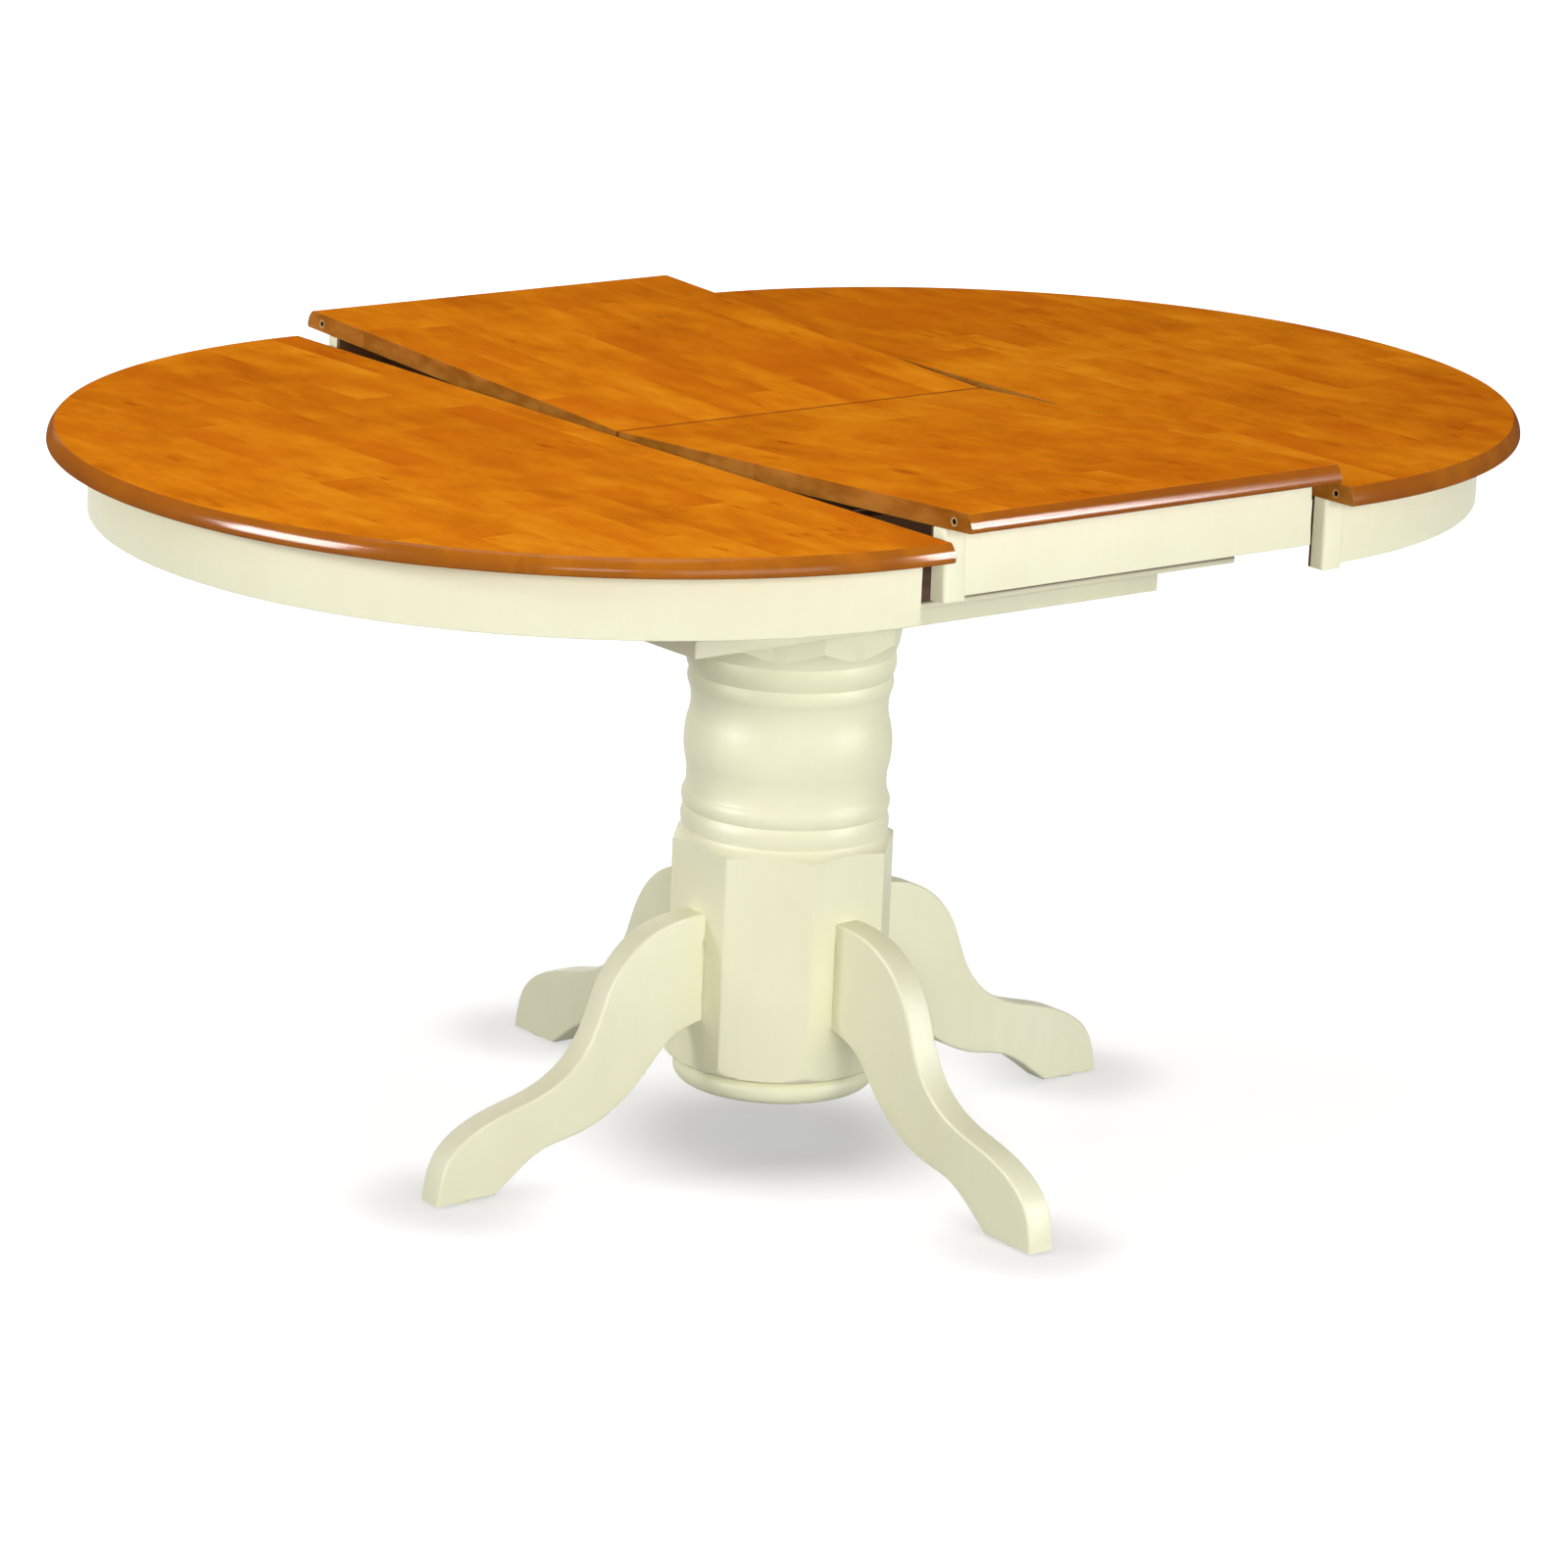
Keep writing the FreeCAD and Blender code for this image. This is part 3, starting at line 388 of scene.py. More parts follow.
def column_surfaces():
    """Over angle and height the outside is the nearer of the octagon and the turned profile. The
    heights of each angle stop where the two meet, so the scalloped shoulders are lines of the
    grid."""
    eighth = np.concatenate([np.linspace(-0.5, -corner_share, 7),
                             np.linspace(-corner_share, corner_share, 19)[1:-1],
                             np.linspace(corner_share, 0.5, 7)])
    angle = (np.arange(8)[:, None] + eighth[None, :-1]).ravel() * np.pi / 4
    angle = np.append(angle, angle[0] + 2 * np.pi)
    flats = octagon(angle, flat_radius, corner_ease)
    knots = turning * np.array([turn_radius, turn_high - turn_low]) + np.array([0, turn_low])
    arcs = [arc_through(*knots[at:at + 3], 15) for at in range(0, len(knots) - 2, 2)]
    profile = np.concatenate([arcs[0]] + [arc[1:] for arc in arcs[1:]])
    shoulder = arcs[0][::-1]
    neck = arcs[-1]
    low_meet = np.interp(flats, shoulder[:, 0], shoulder[:, 1])
    high_meet = np.interp(flats, neck[:, 0], neck[:, 1])
    round_heights = np.clip(profile[:, 1][:, None], low_meet, high_meet)
    round_radii = np.interp(round_heights, profile[:, 1], profile[:, 0])
    sweep = np.linspace(0, np.pi / 2, 9)
    foot = np.stack([blank_radius - block_ease * (1 - np.sin(sweep)),
                     block_foot + block_ease * (1 - np.cos(sweep))], axis=1)
    foot_heights = np.broadcast_to(foot[:, 1][:, None], (len(foot), len(angle)))
    block_share = np.linspace(0, 1, 5)[1:, None]
    block_heights = foot[-1, 1] + block_share * (low_meet - foot[-1, 1])
    heights = np.concatenate([foot_heights, block_heights])
    limits = np.interp(heights, foot[:, 1], foot[:, 0])
    block_radii = np.minimum(flats, limits)
    neck_heights = high_meet + np.linspace(0, 1, 3)[:, None] * (column_top - high_meet)
    neck_radii = np.broadcast_to(flats, neck_heights.shape)
    bores = octagon(angle, bore_flat, 0.0)
    bore_heights = np.linspace(block_foot, column_top, 3)[:, None] * np.ones(len(angle))
    bore_radii = np.broadcast_to(bores, bore_heights.shape)

    def wrap(radii, levels):
        return np.stack([radii * np.cos(angle), radii * np.sin(angle), levels], axis=-1)

    patches = [outward(wrap(block_radii, heights)), outward(wrap(round_radii, round_heights)),
               outward(wrap(neck_radii, neck_heights)),
               outward(wrap(bore_radii, bore_heights))[::-1]]
    for ring_out, level, up in ((block_radii[0], block_foot, -1), (flats, column_top, 1)):
        flat_levels = np.full((2, len(angle)), level)
        patches.append(facing(wrap(np.stack([bores, ring_out]), flat_levels), (0, 0, up)))
    return patches


column = shell("turned_column", column_surfaces(), 28)
settle(column, cream_paint, "painted_wood", "pedestal", "pedestal_column")


# Leg fixings: two hanger bolts a leg with washers and nuts inside the column, and screws through
# the plate. They are zinc-plated steel, dull grey with a slightly blue, cloudy plating.
zinc = Finish("zinc_plate")
crystals = zinc.node("ShaderNodeTexVoronoi", {}, {"Vector": zinc.place(), "Scale": 420.0}, "Color")
patchy = zinc.noise(zinc.place(), 160.0, 3.0)
zinc.set(Base_Color=zinc.blend(0.35 * patchy, shade(186, 190, 195), crystals), Metallic=1.0,
         Roughness=0.28 + 0.25 * patchy)
dress(zinc, "leg_bolts", "leg_washers", "leg_nuts", "plate_screws", "left_runner_screws",
      "right_runner_screws")


# Frame under the top: a board screwed to the column, spacers, cross rails and the beam under the
# hinge line. They are painted hardwood boards with lightly eased edges, glued and screwed flat on
# each other.
plate_half = np.array([0.291, 0.216])
plate_high = 0.601
plate_ease = 0.0018


def eased_block(low, high, ease, rims=(1.0, 1.0, 1.0, 1.0)):
    """A board with rounded edges: a rectangle with quarter-circle corners is carried up its height
    and drawn in by a quarter circle at both ends, and flat caps close it. The rims scale the four
    upright corners' radii."""
    low = np.array(low, float)
    high = np.array(high, float)
    sweep = np.linspace(0, np.pi / 2, 6)
    drawn_in = 1 - np.sin(sweep)
    risen = 1 - np.cos(sweep)
    ends = np.concatenate([drawn_in, drawn_in[::-1]])
    rise = np.concatenate([low[2] + ease * risen, high[2] - ease * risen[::-1]])
    outline = []
    drawn = []
    for number, (x_side, y_side) in enumerate(((1, 1), (-1, 1), (-1, -1), (1, -1))):
        angle = np.linspace(0, np.pi / 2, 7) + number * np.pi / 2
        radius = ease * rims[number]
        corner = np.array([high[0] - radius if x_side > 0 else low[0] + radius,
                           high[1] - radius if y_side > 0 else low[1] + radius])
        spoke = np.stack([np.cos(angle), np.sin(angle)], axis=1)
        outline.append(corner + radius * spoke)
        drawn.append(spoke)
    outline = np.concatenate(outline + [outline[0][:1]])
    drawn = np.concatenate(drawn + [drawn[0][:1]])
    inset = outline[None] - ease * ends[:, None, None] * drawn[None]
    heights = np.broadcast_to(rise[:, None, None], inset.shape[:2] + (1,))
    wall = np.concatenate([inset, heights], axis=-1)
    middle = (low + high) / 2
    across = wall.shape[1] // 8
    here = wall[6, across]
    normal = np.cross(here - wall[5, across], wall[6, across + 1] - here)
    patches = [wall if normal @ (here - middle) > 0 else wall[::-1]]
    for level, up in ((0, -1), (-1, 1)):
        rim = wall[level]
        hub = np.broadcast_to(np.array([middle[0], middle[1], rim[0, 2]]), rim.shape)
        patches.append(facing(np.stack([hub, rim]), (0, 0, up)))
    return patches


plate = shell("top_plate", eased_block((*-plate_half, column_top), (*plate_half, plate_high),
                                       plate_ease))
settle(plate, cream_paint, "painted_wood", "pedestal", "pedestal_plate")
dress(cream_paint, "bearer_left", "bearer_right", "cross_rail_left", "cross_rail_right")


# Slides: hardwood runners under the halves ride in grooves of the fixed rails, with stop blocks at
# their ends. Only the rails' lower part, which shows below the aprons, is painted; the rest is bare
# brown wood, sawn and sanded. The bare wood is a deep brown that is partly painted shade for the
# dark inside of the frame, and the rails' bare top is painted shade under the aprons.
def bare_wood_and_shade(finish):
    """Colour of sawn wood: two tones by stretched noise along x, with darker flecks. Both tones are
    a deep brown that is partly painted shade for the dark inside of the frame.
    """
    x, y, z = finish.axes()
    streak = finish.noise(finish.point(6.0 * x, 90.0 * y, 90.0 * z), 1.0, 4.0)
    fleck = finish.noise(finish.point(40.0 * x, 700.0 * y, 700.0 * z), 1.0, 2.0)
    return finish.blend((0.7 * streak + 0.3 * fleck).ramp(0.3, 0.7),
                        shade(98, 68, 36), shade(76, 50, 24))


rail_top = 0.6398
rail_fade = 0.002
plain_wood = Finish("plain_wood")
fibres = plain_wood.noise(plain_wood.stretch(plain_wood.place(), (40, 700, 700)), 1.0)
plain_wood.set(Base_Color=bare_wood_and_shade(plain_wood), Roughness=0.6 + 0.2 * fibres,
               Specular_IOR_Level=0.25)
plain_wood.bump(fibres, 0.0001, 0.5)
dress(plain_wood, "left_runner_near", "left_runner_far", "right_runner_near", "right_runner_far",
      "left_runner_stops", "right_runner_stops", "rail_stops", "left_glue_blocks",
      "right_glue_blocks", "left_pins", "leaf_pin_near", "leaf_pin_far")
rail_paint = Finish("rail_paint")
rail_cream = cream_coat(rail_paint)
# Above the rail top the colour is dark bare wood: an unpainted rail, and painted shade under the
# aprons.
above = rail_paint.axes()[2].ramp(rail_top - rail_fade, rail_top + rail_fade)
rail_paint.set(Base_Color=rail_paint.blend(above, rail_cream, bare_wood_and_shade(rail_paint)))
dress(rail_paint, "fixed_rail_near", "fixed_rail_far", "leaf_carrier")


# Hinges: brass links with two ears carry the leaf's wings, and small brass butts carry its aprons.
# They are stamped plates with steel-hard pins, lightly tarnished in the corners.
brass = Finish("brass")
tarnish = brass.noise(brass.place(), 60.0, 4.0)
polish = brass.noise(brass.stretch(brass.place(), (40, 900, 900)), 1.0)
worn = brass.blend(tarnish.ramp(0.35, 0.75), shade(214, 178, 96), shade(150, 112, 52))
brass.set(Base_Color=worn, Metallic=1.0, Roughness=0.24 + 0.2 * tarnish + 0.1 * polish)
dress(brass, "hinge_links", "leaf_hinge_pins_near", "leaf_hinge_pins_far", "flap_plates_near",
      "flap_plates_far", "flap_wings_near", "flap_wings_far", "flap_pins_near", "flap_pins_far")


# Half tops: two half discs of solid staves glued side by side, with a round-over along the rim.
# They are stained honey amber and lacquered, and the stain has gathered darker on the moulded rim.
top_high = 0.756
top_thick = 0.018
top_radius = 0.5334
rim_round = 0.020
rim_ease = 0.0025
rim_lip = 0.0012
seam_x = 0.246
dowel_y = 0.508
dowel_drop = 0.010
pin_hole = (0.00243, 0.025)
bush_hole = (0.00433, 0.013)
hole_window = 0.009
leaf_half = 0.2286
rim_band = (0.0080, 0.0070)
sawn_fade = (0.0012, 0.0003)
middle_fade = (0.0034, 0.0020)
leaf_fade = (0.0014, 0.0010)


def rim_profile(high):
    """How far the rim stands in from the widest point, and its height: a small quarter circle
    below, a long arc that starts upright and leans in, and a small arc that rounds the arris where
    it meets the flat face."""
    foot = np.linspace(-np.pi / 2, 0, 6)
    base = high - top_thick + rim_ease
    lip_rise = top_thick - rim_ease - rim_lip
    lip_reach = math.sqrt((rim_round - rim_lip) ** 2 - lip_rise ** 2)
    meet = math.atan2(lip_rise, lip_reach)
    long = np.linspace(0, meet, 16)
    lip = np.linspace(meet, np.pi / 2, 6)[1:]
    below = np.stack([rim_ease * (np.cos(foot) - 1), base + rim_ease * np.sin(foot)], axis=1)
    face = np.stack([rim_round * (np.cos(long) - 1), base + rim_round * np.sin(long)], axis=1)
    arris = np.stack([lip_reach - rim_round + rim_lip * np.cos(lip),
                      high - rim_lip + rim_lip * np.sin(lip)], axis=1)
    return np.concatenate([below, face[1:], arris])


def board_end(inner, outer, profile, hole, size, start, place, look):
    """The sawn end of a board: plain strips from the inner edge, a square with a drilled hole, and
    a strip that follows the rim's profile. The hole, of a (radius, depth) size, is a tube with a
    flat bottom. Points are (depth, across, height), times the place's signs from the start."""
    radius, depth = size
    low = profile[0, 1]
    high = profile[-1, 1]
    window = np.array([hole[0] - hole_window, hole[0] + hole_window])
    plain = np.linspace(inner, window[0], 12)
    across, up = np.meshgrid(plain, np.array([low, high]), indexing="ij")
    flat = [np.stack([np.zeros_like(across), across, up], axis=-1)]
    rim = np.stack([np.zeros(len(profile)), outer + profile[:, 0], profile[:, 1]], axis=1)
    foot = rim.copy()
    foot[:, 1] = window[1]
    flat.append(between(foot, rim, 3))
    corners = np.arctan2(np.array([low, high, high, low]) - hole[1],
                         np.array([window[0], window[0], window[1], window[1]]) - hole[0])
    turn = np.sort(np.concatenate([np.linspace(-np.pi, np.pi, 49), corners]))
    spoke = np.stack([np.cos(turn), np.sin(turn)], axis=1)
    wide = np.where(spoke[:, 0] > 0, window[1] - hole[0], window[0] - hole[0])
    tall = np.where(spoke[:, 1] > 0, high - hole[1], low - hole[1])
    with np.errstate(divide="ignore"):
        reach = np.minimum(np.abs(wide / spoke[:, 0]), np.abs(tall / spoke[:, 1]))
    square = np.array(hole) + spoke * reach[:, None]
    circle = np.array(hole) + spoke * radius
    still = np.zeros((len(turn), 1))
    mouth = np.hstack([still, circle])
    bottom = np.hstack([still + depth, circle])
    flat.append(between(mouth, np.hstack([still, square]), 3))
    tube = start + between(mouth, bottom, 3) * place
    hub = np.broadcast_to(np.array([depth, hole[0], hole[1]]), (len(turn), 3))
    inwards = np.array([0, place[1] * hole[0], hole[1]]) - tube[tube.shape[0] // 2, 1]
    patches = [facing(start + grid * place, look) for grid in flat]
    patches.append(facing(tube, inwards * np.array([0, 1, 1])))
    patches.append(facing(start + between(bottom, hub, 2) * place, look))
    return patches


def half_top_surfaces(sign, hole_size):
    """The rim's profile is carried round a half circle. Straight lines from the seam to the rim
    make both faces, and two mirrored board ends with dowel holes make the seam."""
    profile = rim_profile(top_high)
    angle = np.linspace(-np.pi / 2, np.pi / 2, 180)
    radii = top_radius + profile[:, 0][:, None]
    levels = profile[:, 1][:, None]
    rim = np.stack([sign * (seam_x + radii * np.cos(angle)), radii * np.sin(angle),
                    levels * np.ones_like(angle)], axis=-1)
    patches = [facing(rim, (sign, 0, 0))]
    for edge, up in ((rim[-1], 1), (rim[0], -1)):
        seam = edge.copy()
        seam[:, 0] = sign * seam_x
        patches.append(facing(between(seam, edge, 24), (0, 0, up)))
    hole = (dowel_y, top_high - dowel_drop)
    start = np.array([sign * seam_x, 0, 0])
    for side in (-1, 1):
        patches += board_end(0.0, top_radius, profile, hole, hole_size, start,
                             np.array([sign, side, 1.0]), (-sign, 0, 0))
    return patches


amber = Finish("amber_stain")
x, y, z = amber.axes()
lane = amber.node("ShaderNodeTexVoronoi", {"voronoi_dimensions": "1D"},
                  {"W": 20.5 * x + 3.3, "Scale": 1.0, "Randomness": 0.45}, "Color")
lane_red = amber.node("ShaderNodeSeparateColor", {}, {0: lane}, 0)
lane_green = amber.node("ShaderNodeSeparateColor", {}, {0: lane}, 1)
stave = amber.node("ShaderNodeTexVoronoi", {"voronoi_dimensions": "1D"},
                   {"W": y * (2.3 + 2.2 * lane_green) + 41.0 * lane_red, "Scale": 1.0,
                    "Randomness": 0.8}, "Color")
tone = amber.node("ShaderNodeSeparateColor", {}, {0: stave}, 0)
warmth = amber.node("ShaderNodeSeparateColor", {}, {0: stave}, 1)
drift = 17.0 * tone
clouds = amber.noise(amber.point(16.0 * x + 0.4 * drift, 9.0 * y, 16.0 * z), 1.0, 5.0, 0.6)
streaks = amber.noise(amber.point(60.0 * x + drift, 24.0 * y, 60.0 * z), 1.0, 3.0, 0.55)
pores = amber.noise(amber.point(520.0 * x + drift, 60.0 * y, 520.0 * z), 1.0, 2.0)
wide = amber.noise(amber.place(), 3.2, 2.0)
ruddy = amber.noise(amber.point(11.0 * x + 0.3 * drift, 6.0 * y, 11.0 * z), 1.0, 4.0, 0.6)
ruddy = ruddy.ramp(0.45, 0.68)
fleck = amber.noise(amber.point(46.0 * x + drift, 17.0 * y, 46.0 * z), 1.0, 2.0).ramp(0.66, 0.76)
depth = 0.465 + 0.15 * (tone - 0.5) + 0.85 * (clouds - 0.5) + 0.2 * (streaks - 0.5)
depth = depth + 0.12 * (pores - 0.5) + 0.4 * (wide - 0.5) - 0.2 * fleck
honey_stops = [(0.16, shade(168, 82, 11)), (0.5, shade(206, 119, 17)), (0.86, shade(228, 151, 32))]
honey = amber.node("ShaderNodeValToRGB", {"stops": honey_stops}, {0: depth})
honey = amber.blend(0.6 * ruddy + 0.12 * warmth, honey, shade(190, 95, 14))
far_out = (abs(x) - seam_x).most(0.0)
spread = (far_out * far_out + y * y) ** 0.5
rim_mask = spread.ramp(top_radius - rim_band[0], top_radius - rim_band[1])
rim_tone = amber.blend(wide.ramp(0.35, 0.65), shade(140, 73, 2), shade(168, 96, 6))
rim_tone = amber.blend(0.5 * clouds.ramp(0.4, 0.6), rim_tone, shade(124, 62, 3))
stain = amber.blend(0.9 * rim_mask, honey, rim_tone)
leaf_side = abs(abs(x) - leaf_half).ramp(*sawn_fade)
half_side = abs(abs(x) - seam_x).ramp(*sawn_fade)
on_leaf = abs(x).ramp(leaf_half + leaf_fade[0], leaf_half + leaf_fade[1])
middle_line = abs(y).ramp(*middle_fade) * on_leaf
end_tone = amber.blend((0.6 * streaks + 0.4 * clouds).ramp(0.34, 0.66),
                       shade(138, 86, 26), shade(182, 124, 54))
stain = amber.blend(0.85 * leaf_side.most(half_side), stain, end_tone)
stain = amber.blend(0.75 * middle_line, stain, shade(146, 76, 24))
amber.set(Base_Color=stain, Roughness=0.34 + 0.14 * streaks - 0.12 * rim_mask,
          Specular_IOR_Level=0.0, Coat_Weight=0.04 * rim_mask, Coat_IOR=3.0, Coat_Roughness=0.15)
amber.bump((0.7 * pores + 0.3 * streaks) * (1 - 0.8 * rim_mask), 0.00012, 0.3)
left_top = shell("half_top_left", half_top_surfaces(-1, pin_hole))
settle(left_top, amber, "stained_wood", "left_half", "left_top")
right_top = shell("half_top_right", half_top_surfaces(1, bush_hole))
settle(right_top, amber, "stained_wood", "right_half", "right_top")


# Bushes: short tan plastic sleeves pressed into the right half's and the wings' edges. The dowels
# of the next board slide into them when the table is closed up.
shaded_bore_fade = (0.0003, 0.0011)
gap_middle = (leaf_half + seam_x) / 2
gap_half = (seam_x - leaf_half) / 2
bush_plastic = Finish("bush_plastic")
grain = bush_plastic.noise(bush_plastic.place(), 700.0)
into_board = abs(abs(bush_plastic.axes()[0]) - gap_middle) - gap_half
# The bore inside the board is coloured dark brown: painted shade in the hole.
shaded_bore = into_board.ramp(*shaded_bore_fade)
sleeve = bush_plastic.blend(grain, shade(182, 146, 80), shade(198, 164, 100))
bush_plastic.set(Base_Color=bush_plastic.blend(shaded_bore, sleeve, shade(52, 38, 22)),
                 Roughness=0.38 + 0.15 * grain)
dress(bush_plastic, "right_bushes", "leaf_bush_near", "leaf_bush_far")


# Half aprons: strips of wood bent to a half ring, glued under the tops and painted cream. Their
# lower edge is eased, and the right one stops at the two cover posts. Their inner face is dark bare
# wood, which is also painted shade for the hollow under the top.
apron_low = 0.672
apron_high = 0.738
apron_out = 0.4934
apron_thick = 0.018
apron_ease = 0.0015
post_width = 0.026
apron_short = 0.005
painted_in = (0.0134, 0.0144)


def apron_surfaces(sign, short):
    """A rectangle with rounded corners is carried round a half circle. Each of its points stops
    where it meets the upright plane of the ends, so both ends are flat."""
    sweep = np.linspace(0, np.pi / 2, 6)
    outline = []
    for number, (out, up) in enumerate(((1, 1), (0, 1), (0, 0), (1, 0))):
        corner = np.array([apron_out - apron_ease if out else apron_out - apron_thick + apron_ease,
                           apron_high - apron_ease if up else apron_low + apron_ease])
        angle = sweep + number * np.pi / 2
        outline.append(corner + apron_ease * np.stack([np.cos(angle), np.sin(angle)], axis=1))
    outline = np.concatenate(outline + [outline[0][:1]])
    limit = np.arccos(short / outline[:, 0])
    angle = limit[:, None] * np.linspace(-1, 1, 181)[None]
    radius = outline[:, 0][:, None]
    wall = np.stack([sign * (seam_x + radius * np.cos(angle)), radius * np.sin(angle),
                     np.broadcast_to(outline[:, 1][:, None], angle.shape)], axis=-1)
    along = wall[0, 91] - wall[0, 89]
    around = wall[1, 90] - wall[-2, 90]
    patches = [wall if np.cross(around, along) @ np.array([sign, 0, 0]) > 0 else wall[::-1]]
    for end in (0, -1):
        rim = wall[:, end]
        hub = np.broadcast_to(rim[:-1].mean(axis=0), rim.shape)
        patches.append(facing(np.stack([hub, rim]), (-sign, 0, 0)))
    return patches


apron_paint = Finish("apron_paint")
x, y = apron_paint.axes()[:2]
from_middle = (abs(x) - seam_x).most(0.0)
apron_reach = (from_middle * from_middle + y * y) ** 0.5
# The inner face, past the painted band, is dark bare wood: unpainted, and painted shade for the
# hollow behind.
behind = apron_reach.ramp(apron_out - painted_in[0], apron_out - painted_in[1])
apron_cream = cream_coat(apron_paint)
apron_paint.set(Base_Color=apron_paint.blend(behind, apron_cream, bare_wood_and_shade(apron_paint)))
left_apron = shell("bent_apron_left", apron_surfaces(-1, apron_short))
settle(left_apron, apron_paint, "painted_wood", "left_half", "left_apron")
right_apron = shell("bent_apron_right", apron_surfaces(1, post_width))
settle(right_apron, apron_paint, "painted_wood", "right_half", "right_apron")


# Cover posts: upright blocks glued to the ends of the right apron, a little proud and a little
# longer than it. Their outer corners are rounded over, and they are painted with the apron.
post_proud = 0.003
post_drop = 0.004
post_ease = 0.0015
round_outside = (2.6, 2.6, 1.0, 1.0)
post_patches = []
for side in (-1, 1):
    near_y = apron_out - apron_thick
    far_y = apron_out + post_proud
    post_rims = round_outside if side > 0 else round_outside[::-1]
    post_patches += eased_block((seam_x, min(side * near_y, side * far_y), apron_low - post_drop),
                                (seam_x + post_width, max(side * near_y, side * far_y), apron_high),
                                post_ease, post_rims)
posts = shell("cover_posts", post_patches)
settle(posts, apron_paint, "painted_wood", "right_half", "right_posts")


# Leaf wings: two boards hinged on the middle line, which lie in a shallow V until the halves close
# on them. They have the same staves, stain and moulded rim as the tops, and slots for the hinge
# ears below.
hinge_y = 0.018
hinge_z = 0.749
pin_depth = 0.007
leaf_lift = math.radians(2.76)
leaf_gap = 0.0015
seam_ease = 0.0008
ear_slot = 0.0034
ear_room = 0.0046
ear_steps = np.array([-0.17, 0.0, 0.17])


def hung(patches, side):
    """Surfaces of the flat leaf turned about the hinge pin, a line along x, up to the V. Those of
    the near side are mirrored."""
    cosine, sine = math.cos(leaf_lift), math.sin(leaf_lift)
    lifted = []
    for grid in patches:
        y = grid[..., 1] - hinge_y
        z = grid[..., 2] - hinge_z
        lifted.append(np.stack([grid[..., 0], hinge_y + y * cosine - z * sine,
                                hinge_z + y * sine + z * cosine], axis=-1))
    return lifted if side > 0 else [(grid * np.array([1, -1, 1]))[::-1] for grid in lifted]


def rectangle(first, second, third):
    """A flat cell from three of its corners."""
    first, second, third = (np.array(corner, float) for corner in (first, second, third))
    return np.array([[first, second], [third, second + third - first]])


def wing_surfaces(side):
    """The rim's profile and the flat faces run straight along the leaf, with plain cells between
    the slots, and two board ends with dowel holes close them. All is then turned about the hinge
    pin to the V."""
    high = hinge_z + pin_depth
    profile = rim_profile(high)
    low = profile[0, 1]
    inner = leaf_gap
    back = hinge_y + ear_room
    roof = hinge_z + ear_room
    along = np.linspace(-leaf_half, leaf_half, 31)
    sweep = np.linspace(0, np.pi / 2, 5)
    lip = np.stack([inner + seam_ease * (1 - np.cos(sweep)),
                    high - seam_ease * (1 - np.sin(sweep))], axis=1)
    rim = np.stack([top_radius + profile[:, 0], profile[:, 1]], axis=1)

    def run(section):
        shape = (len(along), len(section))
        return np.concatenate([np.broadcast_to(along[:, None, None], shape + (1,)),
                               np.broadcast_to(section[None], shape + (2,))], axis=-1)

    patches = [facing(run(rim), (0, 1, 0.4)), facing(run(lip), (0, -1, 0.6))]
    patches.append(facing(run(np.array([lip[-1], rim[-1]])), (0, 0, 1)))
    patches.append(facing(run(np.array([(back, low), rim[0]])), (0, 0, -1)))
    patches.append(facing(run(np.array([(inner, roof), lip[0]])), (0, -1, 0)))

    def cell(first, second, third, look):
        patches.append(facing(rectangle(first, second, third), look))

    slots = np.stack([ear_steps - ear_slot, ear_steps + ear_slot], axis=1)
    cuts = np.concatenate([[-leaf_half], slots.ravel(), [leaf_half]])
    for start, stop in zip(cuts[::2], cuts[1::2]):
        cell((start, inner, low), (stop, inner, low), (start, back, low), (0, 0, -1))
        cell((start, inner, low), (stop, inner, low), (start, inner, roof), (0, -1, 0))
    for start, stop in zip(cuts[1:-1:2], cuts[2:-1:2]):
        cell((start, inner, roof), (stop, inner, roof), (start, back, roof), (0, 0, -1))
        cell((start, back, low), (stop, back, low), (start, back, roof), (0, -1, 0))
        cell((start, inner, low), (start, back, low), (start, inner, roof), (1, 0, 0))
        cell((stop, inner, low), (stop, back, low), (stop, inner, roof), (-1, 0, 0))
    for sign, hole_size in ((-1, bush_hole), (1, pin_hole)):
        patches += board_end(inner, top_radius, profile, (dowel_y, high - dowel_drop), hole_size,
                             np.array([sign * leaf_half, 0, 0]), np.array([-sign, 1.0, 1.0]),
                             (sign, 0, 0))
    return hung(patches, side)


for side, name in ((-1, "near"), (1, "far")):
    wing = shell("leaf_wing_" + name, wing_surfaces(side))
    settle(wing, amber, "stained_wood", "leaf_wing_" + name, "leaf_" + name)


# Leaf aprons: straight painted boards hung under the wings' rims on butts, each with a cover post
# at one end. They fold in flat under the wings when the leaf is stored.
fold_clear = 0.0002
for side, name in ((-1, "near"), (1, "far")):
    for title, node, start, stop, proud, drop, rims in (
            ("leaf_board_", "leaf_apron_", post_width - leaf_half, leaf_half, 0.0, 0.0,
             (1.0, 1.0, 1.0, 1.0)),
            ("leaf_cover_", "leaf_post_", -leaf_half, post_width - leaf_half, post_proud, post_drop,
             round_outside)):
        board = eased_block((start, apron_out - apron_thick, apron_low - drop),
                            (stop, apron_out + proud, apron_high - fold_clear), post_ease, rims)
        piece = shell(title + name, hung(board, side))
        settle(piece, apron_paint, "painted_wood", "leaf_flap_" + name, node + name)


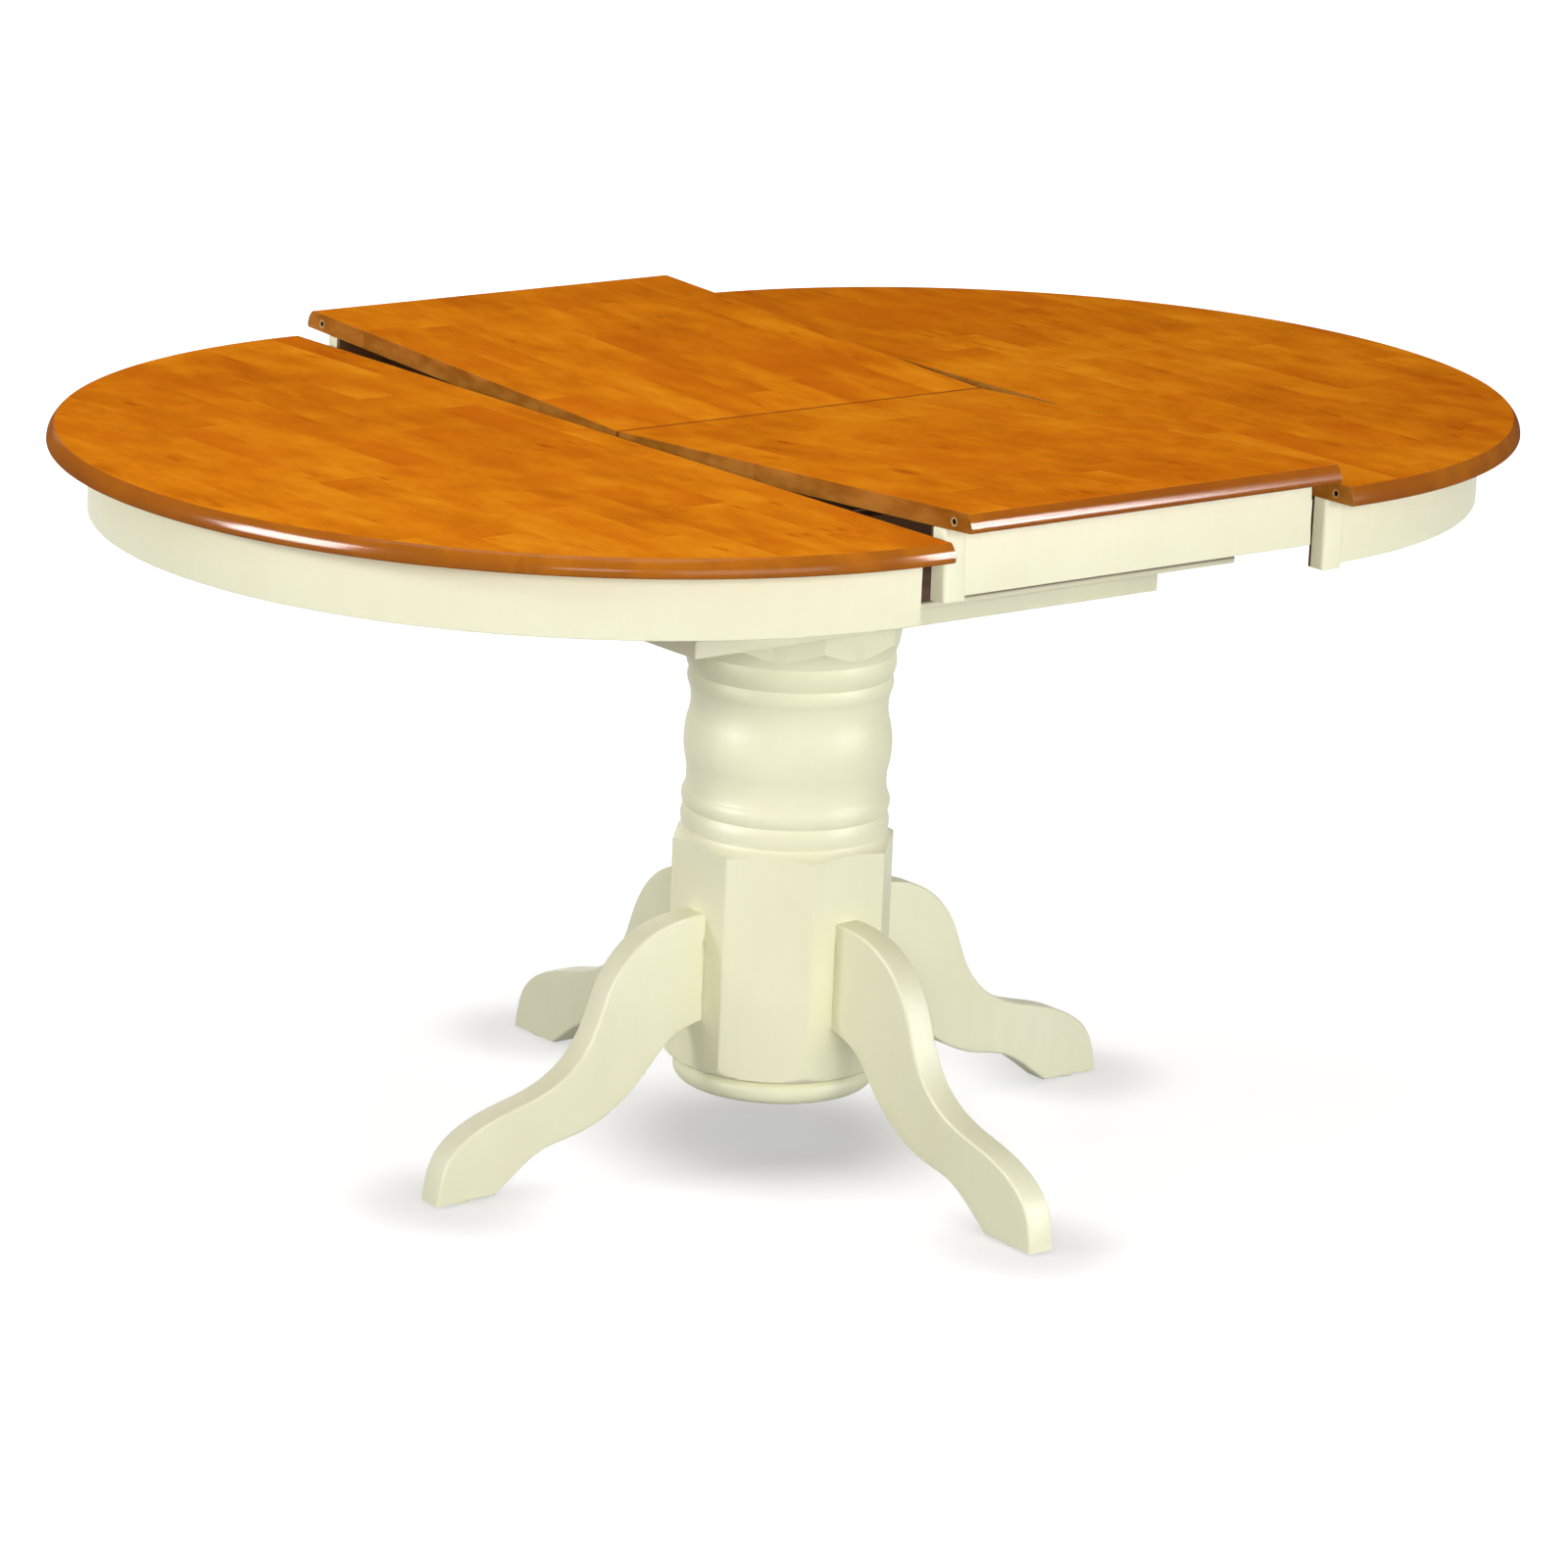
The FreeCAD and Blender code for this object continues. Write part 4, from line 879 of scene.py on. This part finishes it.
# Floor: a plain white sheet far larger than the view, which keeps the soft shadows under the feet.
# Its glow is dimmed under the column and around the feet, a painted shadow that deepens them there.
# It is white to the eye and in reflections, lights the table only by scattering, and is clear from
# below.
floor_half = 30.0
foot_reach = 0.40
foot_shade = (0.14, 0.03)
column_shade = (0.07, 0.26)
open_floor = (0.6, 1.5)
corner = np.array([[-floor_half, floor_half]])
floor_points = np.stack(np.broadcast_arrays(corner.T, corner, np.zeros((1, 1))), axis=-1)
floor = shell("floor_sheet", [facing(floor_points, (0, 0, 1))])
paper = Finish("floor_paper")
paper.tree.nodes.remove(paper.shader)


def shown(finish):
    """1 for rays from the camera, from mirrors and through glass, and 0 for the rest."""
    rays = ("Is Camera Ray", "Is Glossy Ray", "Is Transmission Ray")
    camera, glossy, through = [finish.node("ShaderNodeLightPath", {}, {}, ray) for ray in rays]
    return camera.most(glossy).most(through)


fibre = paper.noise(paper.place(), 300.0)
scatter = paper.node("ShaderNodeBsdfDiffuse", {},
                     {"Color": paper.blend(fibre, shade(174, 174, 174), shade(180, 180, 180))})
paper_x, paper_y = paper.axes()[:2]
reach = (paper_x * paper_x + paper_y * paper_y) ** 0.5
foot_x = ((abs(paper_x) - foot_reach) ** 2.0 + paper_y * paper_y) ** 0.5
foot_y = ((abs(paper_y) - foot_reach) ** 2.0 + paper_x * paper_x) ** 0.5
painted_foot_shadow = foot_x.ramp(*foot_shade).most(foot_y.ramp(*foot_shade))
# Less glow under the column and near the feet is painted shadow on top of the real one.
white = 0.36 + 0.42 * reach.ramp(*column_shade) + 0.22 * reach.ramp(*open_floor) - 0.24 * painted_foot_shadow
white = white * shown(paper)
glow = paper.node("ShaderNodeEmission", {},
                  {"Color": paper.blend(white, (0, 0, 0, 1), (1, 1, 1, 1)), "Strength": 1.0})
sheet = paper.node("ShaderNodeAddShader", {}, {0: scatter, 1: glow})
under = paper.node("ShaderNodeNewGeometry", {}, {}, "Backfacing")
clear = paper.node("ShaderNodeBsdfTransparent", {}, {})
surface = paper.node("ShaderNodeMixShader", {}, {0: under, 1: sheet, 2: clear})
paper.put(paper.tree.nodes["Material Output"].inputs["Surface"], surface)
floor.data.materials.append(paper.material)


# Studio light: an even white room, large soft boxes in front, above and behind, and small ones at
# both sides. The two panels at the sides show in gloss only, and the room is white to the camera
# and in reflections.
room_light = 0.30
scene = bpy.context.scene
scene.view_settings.view_transform = "Standard"
scene.world = bpy.data.worlds.new("studio")
room = Finish("studio", scene.world)
room.set(Color=(1, 1, 1, 1), Strength=room_light + (1 - room_light) * shown(room))


def soft_box(name, place, aim, width, height, watts, gloss_only=False):
    """A rectangular lamp at a place, turned to face its aim. A panel for gloss only shows in
    reflections."""
    lamp = bpy.data.lights.new(name, "AREA")
    lamp.shape = "RECTANGLE"
    lamp.size = width
    lamp.size_y = height
    lamp.energy = watts
    box = bpy.data.objects.new(name, lamp)
    scene.collection.objects.link(box)
    box.visible_diffuse = not gloss_only
    box.location = place
    box.rotation_euler = (Vector(aim) - Vector(place)).to_track_quat("-Z", "Y").to_euler()


soft_box("front_box", (-1.2, -8.5, 2.2), (0, 0, 0.4), 5.0, 3.0, 315)
soft_box("side_box", (-4.6, -5.6, 2.6), (0, 0, 0.4), 1.8, 1.1, 104)
soft_box("over_box", (-0.8, -0.4, 3.3), (0, 0, 0), 2.4, 1.6, 47)
soft_box("back_box", (2.6, 7.4, 2.4), (0, 0, 0.4), 4.0, 2.4, 130)
soft_box("left_box", (-4.52, 1.64, 2.0), (0, 0, 0.5), 1.3, 0.45, 66)
soft_box("left_panel", (-4.74, 0.84, 2.0), (0, 0, 0.5), 2.2, 2.0, 1180, True)
soft_box("right_box", (2.65, -4.09, 1.87), (0, 0, 0.5), 0.8, 0.3, 12)
soft_box("right_panel", (2.65, -4.09, 1.87), (0, 0, 0.5), 0.9, 2.0, 640, True)


# Camera: at the photograph's place, a long lens above and in front of the left half, rolled
# slightly to the left. Its turn is built from the heading, the tilt and the roll, with no shift and
# no depth of field.
yaw = math.radians(38.954)
pitch = math.radians(15.224)
roll = math.radians(-2.520)
eye_place = (-3.7827, -4.6759, 2.0074)
focal_length = 142.4
sensor_width = 36.0
forward = np.array([math.sin(yaw) * math.cos(pitch), math.cos(yaw) * math.cos(pitch),
                    -math.sin(pitch)])
level_right = np.array([math.cos(yaw), -math.sin(yaw), 0.0])
level_down = np.cross(forward, level_right)
right = math.cos(roll) * level_right + math.sin(roll) * level_down
down = -math.sin(roll) * level_right + math.cos(roll) * level_down
lens = bpy.data.cameras.new("view")
lens.sensor_width = sensor_width
lens.lens = focal_length
eye = bpy.data.objects.new("view", lens)
scene.collection.objects.link(eye)
turn = np.eye(4)
turn[:3, :3] = np.stack([right, -down, -forward], axis=1)
turn[:3, 3] = eye_place
eye.matrix_world = Matrix(turn.tolist())
scene.camera = eye
